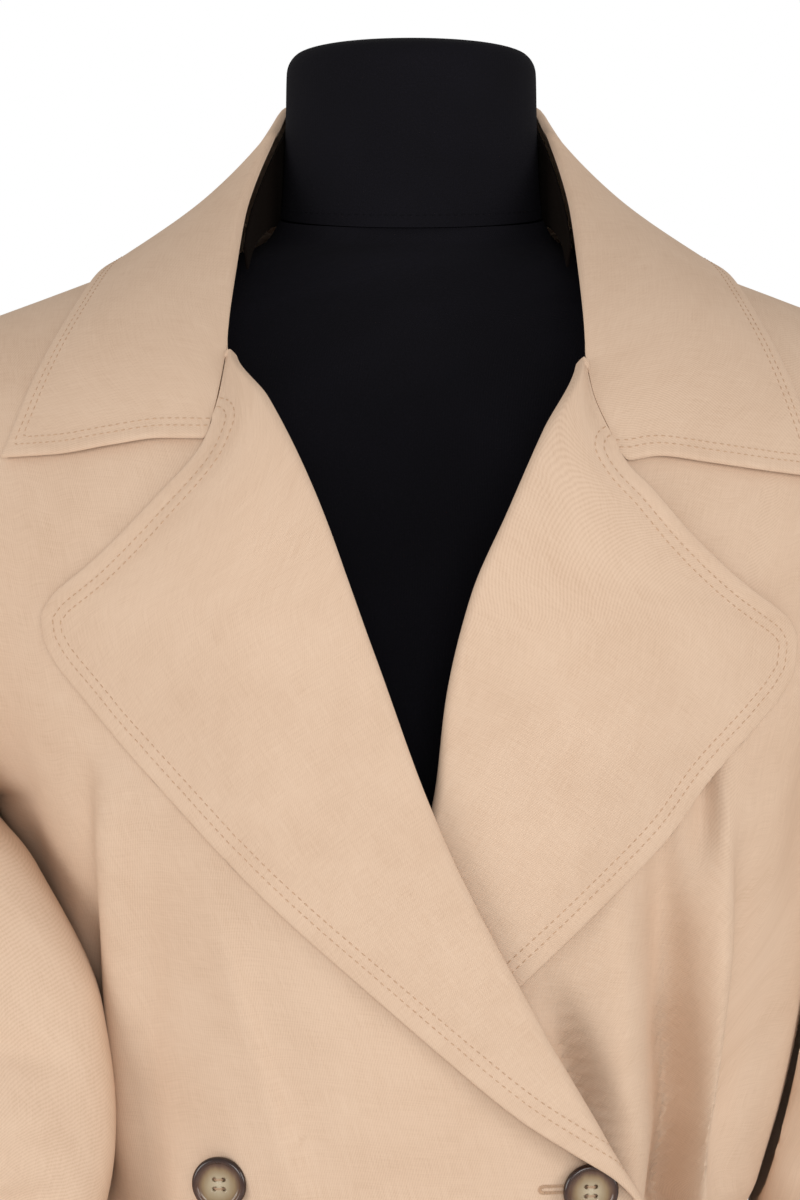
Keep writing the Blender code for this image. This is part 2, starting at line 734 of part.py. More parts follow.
def sleeve(rings, sign):
    """A sleeve: rings that turn from the upright armhole to the level cuff."""

    def place(u, v, inner):
        turn = 2.0 * math.pi * (u % 1.0)
        tilt = math.radians(rings.along(v, "tilt"))
        centre = Vector([rings.along(v, name) for name in "xyz"])
        outward_way = Vector((math.cos(tilt), 0.0, math.sin(tilt)))
        reach = rings.along(v, "half_width") * -math.cos(turn)
        forward = rings.along(v, "half_depth") * -math.sin(turn)
        point = centre + outward_way * reach + Vector((0.0, forward, 0.0))
        hole = armhole(sign, turn)
        hole.x = SLEEVE_GAP + abs(hole.x)
        point = hole.lerp(point, ramp(0.0, 1.0 / 9.0, v))
        if point.z < ARMHOLE_BOTTOM_Z:
            beside = mix(SLEEVE_GAP, SLEEVE_CLEARANCE, ramp(ARMHOLE_BOTTOM_Z, ARMHOLE_BOTTOM_Z - 0.03, point.z))
            point.x = max(point.x, side_reach(sign, point.y, point.z) + beside)
        if inner:
            point -= (point - centre).normalized() * SLEEVE_WALL
        point.x *= sign
        return point

    return place


def oval(turn, half_width, front, back):
    """Point of an oval whose front and back halves differ."""
    y = -math.sin(turn)
    return Vector((-half_width * math.cos(turn), y * (front if y < 0.0 else back), 0.0))


def form_torso(turn, v):
    """Ring of the torso; its last rings tilt to the slanted neck seam."""
    point = oval(2.0 * math.pi * turn, *[FORM.along(v, name) for name in ("half_width", "front", "back")])
    z = FORM.along(v, "z")
    point.z = z + NECK_SLOPE * point.y * ramp(1.385, 1.408, z)
    return point


def form_neck(turn, v):
    half_depth = NECK.along(v, "half_depth")
    point = oval(2.0 * math.pi * turn, NECK.along(v, "half_width"), half_depth, half_depth)
    point.y += NECK_CENTRE_Y
    point.z = NECK.along(v, "z") + NECK.along(v, "slope") * point.y
    return point


def rod(radius, bottom, top):
    def place(turn, v):
        angle = 2.0 * math.pi * turn
        return Vector((radius * math.cos(angle), radius * math.sin(angle), mix(bottom, top, v)))

    return place


def button(x, z):
    """A button lying on the right front, turned from its profile."""
    level = level_of(x, z)
    base = trunk(-1, x, level, outer_lift(x, level) + BUTTON_CLEARANCE)
    out = (trunk(-1, x, level, 1.0, False) - trunk(-1, x, level, 0.0, False)).normalized()
    across = Vector((0.0, 0.0, 1.0)).cross(out).normalized()
    up = out.cross(across)

    def place(turn, v):
        angle = 2.0 * math.pi * turn
        radius = BUTTON_PROFILE.along(v, "radius")
        around = across * math.cos(angle) + up * math.sin(angle)
        return base + around * radius + out * BUTTON_PROFILE.along(v, "height")

    return place


def belt_lift(side, x):
    """Outer face of the belt: over the outer front, then easing down past its edge."""
    if side > 0:
        return BELT_LIFT
    past_edge = ramp(0.106, 0.155, x)
    return BELT_LIFT + outer_lift(x, BELT_Z) * (1.0 - past_edge)


def belt(u, v, inner):
    turn = 2.0 * math.pi * (u % 1.0)
    side = -1 if turn < math.pi else 1
    x = -math.cos(turn)
    x *= half_width(x, BELT_Z)
    point = trunk(side, x, BELT_Z, belt_lift(side, x) - (BELT_WALL if inner else 0.0), False)
    point.z = BELT_Z + (v - 0.5) * BELT_WIDTH
    return point


def on_belt(left, right, low, high, lift, wall, framed=False):
    """A piece lying on the belt's front, between two places across and up."""

    def place(u, v, inner):
        if framed:
            u = frame_share(u, BUCKLE_COLUMNS)
            v = frame_share(v, BUCKLE_ROWS)
        x = mix(left, right, u)
        point = trunk(-1, x, BELT_Z, belt_lift(-1, x) + lift - (wall if inner else 0.0), False)
        point.z = BELT_Z + mix(low, high, v)
        return point

    return place


def frame_share(share, cells):
    """Spreads a frame's inner cells, so that its outer ones are as wide as its bar."""
    if share in (0.0, 1.0):
        return share
    return mix(BUCKLE_BAR, 1.0 - BUCKLE_BAR, (share * cells - 1.0) / (cells - 2.0))


def belt_loop(x):
    """A loop over the belt, sewn down above and below it, on the back."""

    def place(u, v, inner):
        z = mix(-LOOP_HALF_HEIGHT, LOOP_HALF_HEIGHT, v)
        over = ramp(LOOP_HALF_HEIGHT - 0.003, BELT_WIDTH / 2.0 + 0.002, abs(z))
        lift = mix(LOOP_LIFT, BELT_LIFT + LOOP_LIFT, over) - (LOOP_WALL if inner else 0.0)
        point = trunk(1, x + mix(-LOOP_HALF_WIDTH, LOOP_HALF_WIDTH, u), BELT_Z + z, lift)
        return point

    return place


def build():
    for existing in list(bpy.data.objects):
        bpy.data.objects.remove(existing, do_unlink=True)

    twill = material("cotton_twill", (0.68, 0.50, 0.34), 0.85)
    horn = material("horn", (0.045, 0.022, 0.012), 0.32)
    leather = material("leather", (0.10, 0.045, 0.022), 0.45)
    jersey = material("black_jersey", (0.008, 0.008, 0.011), 0.9)
    steel = material("brushed_steel", (0.45, 0.45, 0.46), 0.35, 1.0)

    cloth("front_right", front_panel(ROLL_RIGHT, -1.0, outer_lift), 14, 28, twill)
    cloth("front_left", front_panel(ROLL_LEFT, 1.0, inner_lift), 14, 28, twill)
    cloth("back", back_panel, 24, 26, twill)
    cloth("sleeve_right", sleeve(SLEEVE_RIGHT, -1.0), 20, 14, twill, closed=True)
    cloth("sleeve_left", sleeve(SLEEVE_LEFT, 1.0), 20, 14, twill, closed=True)
    cloth("collar", collar, 32, 7, twill)
    cloth("collar_stand", stand, 28, 2, twill)
    cloth("lapel_right", lapel(ROLL_RIGHT, LAPEL_EDGE_RIGHT, -1.0, outer_lift, True), 7, 30, twill)
    cloth("lapel_left", lapel(ROLL_LEFT, LAPEL_EDGE_LEFT, 1.0, inner_lift, False), 7, 30, twill)

    for row, z in enumerate(BUTTON_ROWS_Z, start=1):
        for column, x in zip(("right", "left"), BUTTON_COLUMNS_X):
            turned(f"button_{column}_{row}", button(x, z), BUTTON_SIDES, 5, horn)

    cloth("belt", belt, 44, 1, twill, closed=True)
    half = BELT_WIDTH / 2.0
    end_lift = LAYER_GAP + BELT_END_WALL
    buckle_lift = end_lift + LAYER_GAP + BUCKLE_WALL
    cloth("belt_end", on_belt(-0.010, 0.132, -half, half, end_lift, BELT_END_WALL), 10, 1, twill)
    reach = half + BUCKLE_OVERHANG
    frame = on_belt(-0.032, 0.030, -reach, reach, buckle_lift, BUCKLE_WALL, framed=True)
    cloth("buckle", frame, BUCKLE_COLUMNS, BUCKLE_ROWS, leather, holed=True)
    cloth("belt_loop_right", belt_loop(-0.118), 2, 10, twill)
    cloth("belt_loop_left", belt_loop(0.118), 2, 10, twill)

    turned("form_torso", form_torso, 32, 18, jersey)
    turned("form_neck", form_neck, 24, 8, jersey)
    turned("pole", rod(POLE_RADIUS, BASE_HEIGHT + FORM_GAP, FORM_BOTTOM_Z - FORM_GAP), 16, 1, steel)
    turned("base_plate", rod(BASE_RADIUS, 0.0, BASE_HEIGHT), 40, 1, steel)


build()
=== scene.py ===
# Double-breasted trench coat on a limbless dress form: the looks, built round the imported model.
# Metres, +Z up, wearer facing -Y. Right and left are the wearer's: the right side lies at -X.
import functools
import math

import bmesh
import bpy
import numpy as np
from mathutils import Matrix, Vector, noise


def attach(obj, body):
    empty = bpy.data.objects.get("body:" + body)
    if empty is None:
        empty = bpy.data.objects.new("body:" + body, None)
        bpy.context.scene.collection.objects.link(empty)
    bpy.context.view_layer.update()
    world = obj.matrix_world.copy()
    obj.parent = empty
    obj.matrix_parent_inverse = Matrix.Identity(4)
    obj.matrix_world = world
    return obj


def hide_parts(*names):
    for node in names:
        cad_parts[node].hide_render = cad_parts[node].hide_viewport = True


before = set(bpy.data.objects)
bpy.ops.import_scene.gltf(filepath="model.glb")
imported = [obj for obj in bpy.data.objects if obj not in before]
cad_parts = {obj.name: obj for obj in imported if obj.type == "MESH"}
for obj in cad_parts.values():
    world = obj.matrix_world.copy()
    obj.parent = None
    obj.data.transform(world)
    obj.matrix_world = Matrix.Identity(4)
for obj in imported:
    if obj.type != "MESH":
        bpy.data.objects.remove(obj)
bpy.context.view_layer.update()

scene = bpy.context.scene


# small helpers
def ramp(low, high, at):
    # 0 below low, 1 above high, a smooth change between; high may be the smaller
    t = min(1.0, max(0.0, (at - low) / (high - low)))
    return t * t * (3.0 - 2.0 * t)


def mix(first, second, share):
    return first + (second - first) * share


def smoothRead(places, values, where):
    # cubic through the values that never swings past them
    where = min(max(where, places[0]), places[-1])
    after = next(i for i in range(1, len(places)) if where <= places[i])
    before = after - 1
    width = places[after] - places[before]
    rise = (values[after] - values[before]) / width
    slopes = []
    for near, far in ((before - 1, before), (after, after + 1)):
        if near < 0 or far >= len(places):
            slopes.append(rise)
            continue
        beside = (values[far] - values[near]) / (places[far] - places[near])
        sameWay = beside * rise > 0.0
        slopes.append(2.0 * beside * rise / (beside + rise) if sameWay else 0.0)
    t = (where - places[before]) / width
    bendIn = (slopes[0] - rise) * t * (1.0 - t) ** 2
    bendOut = (rise - slopes[1]) * t * t * (1.0 - t)
    return values[before] + width * (rise * t + bendIn + bendOut)


class Table:
    # rows of measurements with named columns, read along the first one as smooth curves
    def __init__(self, columns, *rows):
        self.rows = rows
        self.columns = {name: [row[i] for row in rows] for i, name in enumerate(columns.split())}
        self.first = self.columns[columns.split()[0]]
        self.at = functools.lru_cache(maxsize=None)(self.readAt)
        self.along = functools.lru_cache(maxsize=None)(self.readAlong)

    def readAt(self, where, name):
        return smoothRead(self.first, self.columns[name], where)

    def readAlong(self, fraction, name):
        values = self.columns[name]
        return smoothRead(range(len(values)), values, fraction * (len(values) - 1))


# the view: level, straight from the front, framed at the chest
view = {"place": (-0.0055, -1.77, 1.223), "sensor": 36.0, "tangent": 0.165}
cameraData = bpy.data.cameras.new("view")
cameraData.sensor_width = view["sensor"]
cameraData.lens = view["sensor"] / (2.0 * view["tangent"])
camera = bpy.data.objects.new("view", cameraData)
camera.location = view["place"]
camera.rotation_euler = (math.radians(90.0), 0.0, 0.0)
scene.collection.objects.link(camera)
scene.camera = camera
scene.view_settings.view_transform = "Standard"


# materials
def linear(hexColour):
    # sRGB hex to linear RGBA
    parts = [int(hexColour[i:i + 2], 16) / 255.0 for i in (1, 3, 5)]
    return tuple(c / 12.92 if c <= 0.04045 else ((c + 0.055) / 1.055) ** 2.4 for c in parts) + (1.0,)


def addNode(tree, kind, sockets=(), stops=(), **settings):
    # one node; its sockets are links or fixed values, by name or in order, and a node given as a link
    # stands for its first output; stops are the places and hex colours of a colour ramp
    node = tree.nodes.new("ShaderNode" + kind)
    for name, value in settings.items():
        setattr(node, name, value)
    for key, value in sockets.items() if isinstance(sockets, dict) else enumerate(sockets):
        if isinstance(value, bpy.types.Node):
            value = value.outputs[0]
        if isinstance(value, bpy.types.NodeSocket):
            tree.links.new(value, node.inputs[key])
        else:
            node.inputs[key].default_value = value
    if stops:
        elements = node.color_ramp.elements
        while len(elements) < len(stops):
            elements.new(0.5)
        for element, (place, colour) in zip(elements, stops):
            element.position = place
            element.color = linear(colour)
    return node


def newMaterial(name, **fixed):
    # Principled material; fixed values go straight on the shader's sockets
    made = bpy.data.materials.new(name)
    made.use_nodes = True
    shader = made.node_tree.nodes["Principled BSDF"]
    for socket, value in fixed.items():
        shader.inputs[socket.replace("_", " ")].default_value = value
    return made, made.node_tree, shader


def weighted(tree, start, *parts):
    # a starting value plus each part times its weight
    for part, weight in parts:
        start = addNode(tree, "Math", (part, weight, start), operation="MULTIPLY_ADD")
    return start


def finishMaterial(tree, shader, colour, rough, height=None, strength=0.0, relief=0.0):
    # relief is how high the bumps stand, in metres
    links = [("Base Color", colour), ("Roughness", rough)]
    if height:
        bump = addNode(tree, "Bump", {"Height": height, "Strength": strength, "Distance": relief})
        links.append(("Normal", bump))
    for socket, node in links:
        tree.links.new(node.outputs[0], shader.inputs[socket])


twillLook = {
    "cloth": ("#C7A990", "#D5B9A1", "#DDC3AC"),     # dark, middle and light tone
    "thread": ("#B59378", "#C3A286", "#CDAE92"),    # sewing thread, a shade darker than the cloth
    "inside": ("#0C0807", "#110C0A", "#16100D"),    # painted shade: near-black cloth for the collar's inner side, which lies in shadow
    "paintedShadeShine": 0.1,
    "bloom": "#F2DFC8", "sheen": 0.10, "roughness": 0.94,
    "ribPitch": 0.0010,     # real ribs are 0.6 mm apart: drawn coarser so that they show
    "ribAngle": 62.0,       # degrees between the ribs and the weft
    "ribWander": 0.0012, "wanderSize": 0.012,
    "slub": 0.00064,        # size of an uneven spot in a yarn, across it
    "slubStretch": 0.045,   # the same across over along
    "cloudSize": 0.055, "relief": 0.00013,
}


def cottonTwill(name, tones, shine=1.0):
    # woven cotton twill: soft and matt, fine slanting ribs, uneven yarns, a peach bloom at grazing light
    look = twillLook
    made, tree, shader = newMaterial(name, Sheen_Weight=look["sheen"] * shine, Sheen_Roughness=0.45,
                                     Specular_IOR_Level=0.25 * shine, Sheen_Tint=linear(look["bloom"]))
    place = addNode(tree, "UVMap", uv_map="cloth")
    parts = addNode(tree, "SeparateXYZ", (place,))
    wander = addNode(tree, "TexNoise", {"Vector": place, "Scale": 1.0 / look["wanderSize"]})
    angle, turn = math.radians(look["ribAngle"]), 2.0 * math.pi / look["ribPitch"]
    turns = weighted(tree, 0.0, (parts.outputs["X"], turn * math.sin(angle)),
                     (parts.outputs["Y"], -turn * math.cos(angle)), (wander, turn * look["ribWander"]))
    ribs = addNode(tree, "Math", (turns,), operation="SINE")
    yarns = 0.0
    for stretch in ((look["slubStretch"], 1.0, 1.0), (1.0, look["slubStretch"], 1.0)):
        drawn = addNode(tree, "Mapping", {"Vector": place, "Scale": stretch})
        yarn = addNode(tree, "TexNoise", {"Vector": drawn, "Scale": 1.0 / look["slub"]})
        yarns = weighted(tree, yarns, (yarn, 1.0))
    clouds = addNode(tree, "TexNoise", {"Vector": place, "Scale": 1.0 / look["cloudSize"],
                                        "Detail": 4.0, "Roughness": 0.6})
    tone = weighted(tree, 0.0, (ribs, 0.060), (yarns, 0.24), (clouds, 0.30))
    colour = addNode(tree, "ValToRGB", (tone,), tuple(zip((0.20, 0.40, 0.60), tones)))
    rough = weighted(tree, look["roughness"], (yarns, -0.08))
    finishMaterial(tree, shader, colour, rough, weighted(tree, yarns, (ribs, 0.26)), 0.55, look["relief"])
    return made


def hornPolished():
    # ox horn, turned and buffed: dark brown rim, grey-beige streaked centre, clear gloss, and painted shade
    # darkening the top of each button
    made, tree, shader = newMaterial("hornPolished", IOR=1.50, Coat_Weight=0.20, Coat_Roughness=0.16)
    spot = addNode(tree, "SeparateXYZ", (addNode(tree, "UVMap", uv_map="cloth"),))
    place = addNode(tree, "TexCoord").outputs["Object"]
    drawn = addNode(tree, "Mapping", {"Vector": place, "Scale": (1.0, 1.0, 0.22)})
    streaks = addNode(tree, "TexNoise", {"Vector": drawn, "Scale": 1.0 / 0.004,  # 4 mm apart
                                         "Detail": 4.0, "Roughness": 0.6})
    # the Y term darkens the upper part of each button: painted shade
    outward = weighted(tree, 0.0, (spot.outputs["X"], 0.80), (spot.outputs["Y"], 0.16), (streaks, 0.18))
    colour = addNode(tree, "ValToRGB", (outward,), (
        (0.22, "#B9AB92"), (0.46, "#A39277"), (0.64, "#8A7355"),
        (0.76, "#5E4231"), (0.88, "#3A221A"), (1.0, "#24140F"),
    ))
    finishMaterial(tree, shader, colour, weighted(tree, 0.14, (streaks, 0.18)))
    return made


def jerseyKnitted():
    # black knitted jersey over padding: deep matt black with fine vertical wales and a little lint
    made, tree, shader = newMaterial("jerseyKnitted", Sheen_Weight=0.03, Sheen_Roughness=0.4,
                                     Specular_IOR_Level=0.12, Sheen_Tint=linear("#3A3A44"))
    place = addNode(tree, "UVMap", uv_map="cloth")
    parts = addNode(tree, "SeparateXYZ", (place,))
    lint = addNode(tree, "TexNoise", {"Vector": place, "Scale": 1.0 / 0.0011})
    clouds = addNode(tree, "TexNoise", {"Vector": place, "Scale": 1.0 / 0.05, "Detail": 3.0})
    height = lint
    for axis, pitch, rise in (("X", 0.0012, 0.4), ("Y", 0.0016, 0.2)):  # wales, then courses
        turns = weighted(tree, 0.0, (parts.outputs[axis], 2.0 * math.pi / pitch))
        height = weighted(tree, height, (addNode(tree, "Math", (turns,), operation="SINE"), rise))
    tone = weighted(tree, 0.0, (lint, 0.6), (clouds, 0.4))
    colour = addNode(tree, "ValToRGB", (tone,), ((0.35, "#0B0A0F"), (0.60, "#0F0E14"), (0.80, "#15141B")))
    finishMaterial(tree, shader, colour, weighted(tree, 0.86, (lint, 0.1)), height, 0.4, 0.0002)
    return made


def leatherCovered():
    # smooth brown calf leather on the buckle: fine pebbled grain of 1.1 mm, a little uneven in colour
    made, tree, shader = newMaterial("leatherCovered", IOR=1.5, Coat_Weight=0.15, Coat_Roughness=0.3)
    place = addNode(tree, "TexCoord").outputs["Object"]
    pebbles = addNode(tree, "TexVoronoi", {"Vector": place, "Scale": 1.0 / 0.0011})
    clouds = addNode(tree, "TexNoise", {"Vector": place, "Scale": 1.0 / 0.008, "Detail": 3.0})
    colour = addNode(tree, "ValToRGB", (clouds,), ((0.30, "#43281A"), (0.55, "#573524"), (0.75, "#6B452F")))
    finishMaterial(tree, shader, colour, weighted(tree, 0.36, (clouds, 0.2)), pebbles, 0.35, 0.0001)
    return made


def steelBrushed():
    # brushed steel stand: grey metal with fine drawn scratches of 0.6 mm along the height
    made, tree, shader = newMaterial("steelBrushed", Metallic=1.0)
    place = addNode(tree, "TexCoord").outputs["Object"]
    drawn = addNode(tree, "Mapping", {"Vector": place, "Scale": (1.0, 1.0, 0.02)})
    scratches = addNode(tree, "TexNoise", {"Vector": drawn, "Scale": 1.0 / 0.0006,
                                           "Detail": 3.0, "Roughness": 0.7})
    clouds = addNode(tree, "TexNoise", {"Vector": place, "Scale": 1.0 / 0.03})
    colour = addNode(tree, "ValToRGB", (clouds,), ((0.30, "#A9A9AB"), (0.70, "#BEBEC0")))
    finishMaterial(tree, shader, colour, weighted(tree, 0.22, (scratches, 0.22)), scratches, 0.15, 0.00005)
    return made


twill = cottonTwill("cottonTwillWoven", twillLook["cloth"])
thread = cottonTwill("cottonThreadSpun", twillLook["thread"])
# the collar stand's cloth is near-black with little sheen: painted shade of its shadowed inside
shadedTwill = cottonTwill("cottonTwillPaintedShade", twillLook["inside"], twillLook["paintedShadeShine"])
horn = hornPolished()
jersey = jerseyKnitted()
leather = leatherCovered()
steel = steelBrushed()
print("materials ready")


# the coat's surface: level sections, folds and seams, the same lines that the solids follow
trunkLook = {
    "hem": 0.32, "armholeBottom": 1.13, "armholeMiddle": 1.2375, "shoulderPoint": 1.3466,
    "belt": 0.90,
    "shoulderX": 0.158, "shoulderZ": 1.377, "shoulderSlope": 0.38,
    "armholeDepth": 0.080, "chestPower": 1.3, "bladePower": 0.8,
    "overlap": 0.0100, "overlapSkirt": 0.0060, "overlapStart": -0.14, "overlapFull": 0.02,
    "overlapBelt": (0.928, 0.945), "overlapTop": (1.33, 1.22), "sideStart": 0.86, "sideFull": 0.99,
    "flutes": 12, "fluteDepth": 0.0085, "fluteTop": 0.87, "fluteSway": 0.7, "flatFront": (0.10, 0.15),
    "foldFade": 0.055, "foldReach": 3.0,    # metres of fading at a fold's ends, widths that it reaches aside
    "rumple": 0.0007, "rumpleSize": 0.060, "rumpleStretch": 0.45, "rumpleBehind": 0.3,
    "beltClear": (0.030, 0.060),            # slight unevenness of hanging cloth, none near the belt
    "ease": 0.036, "easeSteps": 13, "step": 0.0006,
}
trunk = Table(
    "z left right front back power rounding",
    (0.320, 0.268, 0.268, 0.205, 0.198, 2.3, 0.43),
    (0.500, 0.240, 0.240, 0.190, 0.182, 2.3, 0.43),
    (0.735, 0.205, 0.203, 0.172, 0.165, 2.3, 0.43),
    (0.790, 0.194, 0.188, 0.163, 0.156, 2.3, 0.43),
    (0.846, 0.176, 0.170, 0.147, 0.140, 2.3, 0.43),
    (0.873, 0.161, 0.156, 0.131, 0.125, 2.2, 0.44),
    (0.927, 0.161, 0.156, 0.131, 0.125, 2.2, 0.44),
    (0.945, 0.168, 0.157, 0.147, 0.130, 2.3, 0.43),
    (1.004, 0.184, 0.160, 0.158, 0.134, 2.4, 0.45),
    (1.060, 0.195, 0.174, 0.164, 0.137, 2.4, 0.50),
    (1.130, 0.205, 0.202, 0.170, 0.140, 2.5, 0.60),
    (1.2375, 0.215, 0.215, 0.170, 0.140, 2.5, 0.95),
    (1.3466, 0.226, 0.226, 0.170, 0.140, 2.5, 0.95),
)
# main folds, a ridge above 0 and a trough below it, from (lowX, lowZ) to (highX, highZ);
# lean makes the flank towards the wearer's left the steeper one
frontFolds = (
    # lowX, lowZ, highX, highZ, width, depth, lean
    (-0.128, 0.935, -0.135, 1.165, 0.010, 0.0100, 0.0),
    (-0.141, 0.935, -0.149, 1.170, 0.006, -0.0035, 0.0),
    (-0.040, 0.930, -0.086, 1.110, 0.016, 0.0045, 0.0),
    (0.108, 0.935, 0.1375, 1.118, 0.015, 0.0075, 0.0),
    (0.134, 0.935, 0.165, 1.080, 0.013, -0.0075, 0.0),
    (-0.128, 0.865, -0.160, 0.520, 0.020, 0.0110, 0.0),
    (-0.145, 0.865, -0.200, 0.560, 0.018, -0.0080, 0.0),
    (-0.020, 0.865, -0.030, 0.620, 0.024, -0.0050, 0.0),
    (0.132, 0.865, 0.165, 0.480, 0.020, 0.0110, 0.0),
    (0.150, 0.865, 0.205, 0.560, 0.018, -0.0080, 0.0),
)
frontCreases = (
    # gathered by the belt on the wearer's left: a trough by a sharp ridge, a hollow behind the lapel's end
    (0.1155, 0.890, 0.1130, 1.075, 0.0095, -0.0070, -0.20),
    (0.1140, 0.900, 0.1110, 1.150, 0.0090, -0.0040, -0.20),
    (0.0950, 0.905, 0.0925, 1.120, 0.0105, 0.0065, 0.20),
    (0.1250, 0.905, 0.1400, 1.150, 0.0085, 0.0085, 0.0),
    (0.0935, 0.952, 0.0560, 1.066, 0.0090, -0.0140, 0.1),
    (0.1450, 0.915, 0.1510, 1.130, 0.0105, -0.0055, 0.0),
    (0.1620, 0.915, 0.1720, 1.080, 0.0080, -0.0020, 0.0),
    # the wearer's right: two soft slanting folds and a hollow beside the long ridge
    (-0.0330, 0.930, -0.0860, 1.115, 0.0100, -0.0045, -0.4),
    (-0.0620, 0.915, -0.0960, 1.060, 0.0150, 0.0030, 0.3),
    (-0.1180, 0.915, -0.1240, 1.130, 0.0130, -0.0020, 0.3),
    (-0.1080, 0.915, -0.1020, 0.990, 0.0070, 0.0022, 0.0),
    (-0.1720, 1.060, -0.1880, 1.180, 0.0100, -0.0040, 0.0),
    (0.1780, 1.060, 0.1900, 1.190, 0.0100, -0.0040, 0.0),
    # skirt, below the belt
    (-0.0650, 0.868, -0.0700, 0.760, 0.0090, -0.0040, 0.2),
    (-0.1020, 0.868, -0.1150, 0.700, 0.0100, -0.0045, 0.0),
    (0.1000, 0.868, 0.1120, 0.720, 0.0100, -0.0045, -0.2),
    (0.0500, 0.868, 0.0460, 0.790, 0.0090, -0.0030, 0.0),
    (0.0050, 0.868, 0.0100, 0.800, 0.0090, 0.0025, 0.0),
)
# pleats gathered by the belt, pressed straight back into the front
frontPleats = (
    # lowX, lowZ, highX, highZ, width towards the middle, width towards the side, depth
    (0.1188, 0.900, 0.1158, 1.060, 0.0082, 0.0125, 0.0115),
    (0.1184, 0.900, 0.1149, 1.110, 0.0080, 0.0120, 0.0105),
    (0.1163, 0.905, 0.1123, 1.165, 0.0072, 0.0098, 0.0060),
    (0.1150, 0.890, 0.1135, 1.015, 0.0076, 0.0082, 0.0095),
    (0.1290, 1.080, 0.1315, 1.190, 0.0060, 0.0070, 0.0110),
)
backFolds = (
    (-0.105, 0.935, -0.135, 1.130, 0.016, 0.0080, 0.0),
    (-0.050, 0.935, -0.040, 1.090, 0.018, -0.0070, 0.0),
    (0.012, 0.935, 0.020, 1.120, 0.018, 0.0075, 0.0),
    (0.075, 0.935, 0.085, 1.100, 0.016, -0.0070, 0.0),
    (0.120, 0.935, 0.150, 1.140, 0.016, 0.0080, 0.0),
    (-0.120, 0.865, -0.165, 0.480, 0.024, 0.0110, 0.0),
    (-0.045, 0.865, -0.055, 0.450, 0.026, -0.0100, 0.0),
    (0.030, 0.865, 0.040, 0.520, 0.024, 0.0100, 0.0),
    (0.100, 0.865, 0.140, 0.500, 0.024, -0.0090, 0.0),
)
backCreases = (
    (-0.1350, 0.925, -0.1500, 1.060, 0.0080, -0.0030, 0.2),
    (-0.0800, 0.925, -0.0720, 1.030, 0.0080, -0.0030, 0.0),
    (-0.0200, 0.925, -0.0120, 1.060, 0.0080, -0.0030, 0.3),
    (0.0430, 0.925, 0.0560, 1.050, 0.0080, -0.0030, -0.3),
    (0.0980, 0.925, 0.1140, 1.070, 0.0080, 0.0025, 0.0),
    (-0.1780, 1.060, -0.1850, 1.180, 0.0100, -0.0040, 0.0),
    (0.1780, 1.060, 0.1900, 1.190, 0.0100, -0.0040, 0.0),
    (-0.0850, 0.868, -0.0950, 0.720, 0.0100, -0.0035, 0.0),
    (-0.0050, 0.868, -0.0100, 0.760, 0.0090, -0.0030, 0.2),
    (0.0700, 0.868, 0.0850, 0.740, 0.0100, 0.0030, 0.0),
)


def armholeSideY(z):
    # how far the armhole's edge stands from the side plane, below its widest level
    if z <= trunkLook["armholeBottom"]:
        return 0.0
    drop = (trunkLook["armholeMiddle"] - z) / (trunkLook["armholeMiddle"] - trunkLook["armholeBottom"])
    return trunkLook["armholeDepth"] * math.sqrt(max(0.0, 1.0 - drop * drop))


@functools.lru_cache(maxsize=None)
def softSideY(z):
    # the same, eased over a hand's breadth: how the cloth in front of the underarm spreads
    steps, ease = trunkLook["easeSteps"], trunkLook["ease"]
    return sum(armholeSideY(z + ease * (2.0 * k / (steps - 1) - 1.0)) for k in range(steps)) / steps


def shoulderHeight(x):
    return trunkLook["shoulderZ"] - (abs(x) - trunkLook["shoulderX"]) * trunkLook["shoulderSlope"]


def turnOf(level):
    # sine of the turn over the shoulder: 0 at the armhole's middle, 1 on the shoulder seam
    rise = (level - trunkLook["armholeMiddle"]) / (trunkLook["shoulderPoint"] - trunkLook["armholeMiddle"])
    return min(1.0, max(0.0, rise))


def levelOf(x, z):
    # level of the trunk whose surface passes through a height at this distance
    middle = trunkLook["armholeMiddle"]
    if z <= middle:
        return z
    rise = (z - middle) / (shoulderHeight(x) - middle)
    return mix(middle, trunkLook["shoulderPoint"], min(1.0, rise))


def halfWidth(x, level):
    return trunk.at(level, "right" if x < 0.0 else "left")


def bareTrunk(side, x, level):
    # point of the trunk's smooth surface; side is -1 in front and 1 behind
    middle = trunkLook["armholeMiddle"]
    section = min(level, middle)
    fraction = min(1.0, abs(x) / halfWidth(x, level))
    nearSide = ramp(trunkLook["sideStart"], trunkLook["sideFull"], fraction)
    edge = mix(softSideY(section), armholeSideY(section), nearSide)
    depth = trunk.at(section, "front" if side < 0 else "back")
    reach = 1.0 - fraction ** trunk.at(section, "power")
    y = edge + (depth - edge) * reach ** trunk.at(section, "rounding")
    if level <= middle:
        return Vector((x, side * y, level))
    sine = turnOf(level)
    power = trunkLook["chestPower"] if side < 0 else trunkLook["bladePower"]
    y *= math.sqrt(max(0.0, 1.0 - sine * sine)) ** power
    return Vector((x, side * y, mix(middle, shoulderHeight(x), sine)))


def foldStrength(oneZ, otherZ, level):
    # 1 along a fold, fading out at both ends
    bottom, top, fade = min(oneZ, otherZ), max(oneZ, otherZ), trunkLook["foldFade"]
    return ramp(bottom, bottom + fade, level) * ramp(top, top - fade, level)


@functools.lru_cache(maxsize=None)
def foldsAt(side, level, creased):
    # the folds and creases that cross a level: place, width to each side and depth
    folds, creases = (frontFolds, frontCreases) if side < 0 else (backFolds, backCreases)
    crossing = []
    for lowX, lowZ, highX, highZ, width, depth, lean in folds + creases if creased else folds:
        inside = foldStrength(lowZ, highZ, level)
        if inside > 0.0:
            place = mix(lowX, highX, (level - lowZ) / (highZ - lowZ))
            crossing.append((place, width * (1.0 + lean), width * (1.0 - lean), depth * inside))
    return crossing


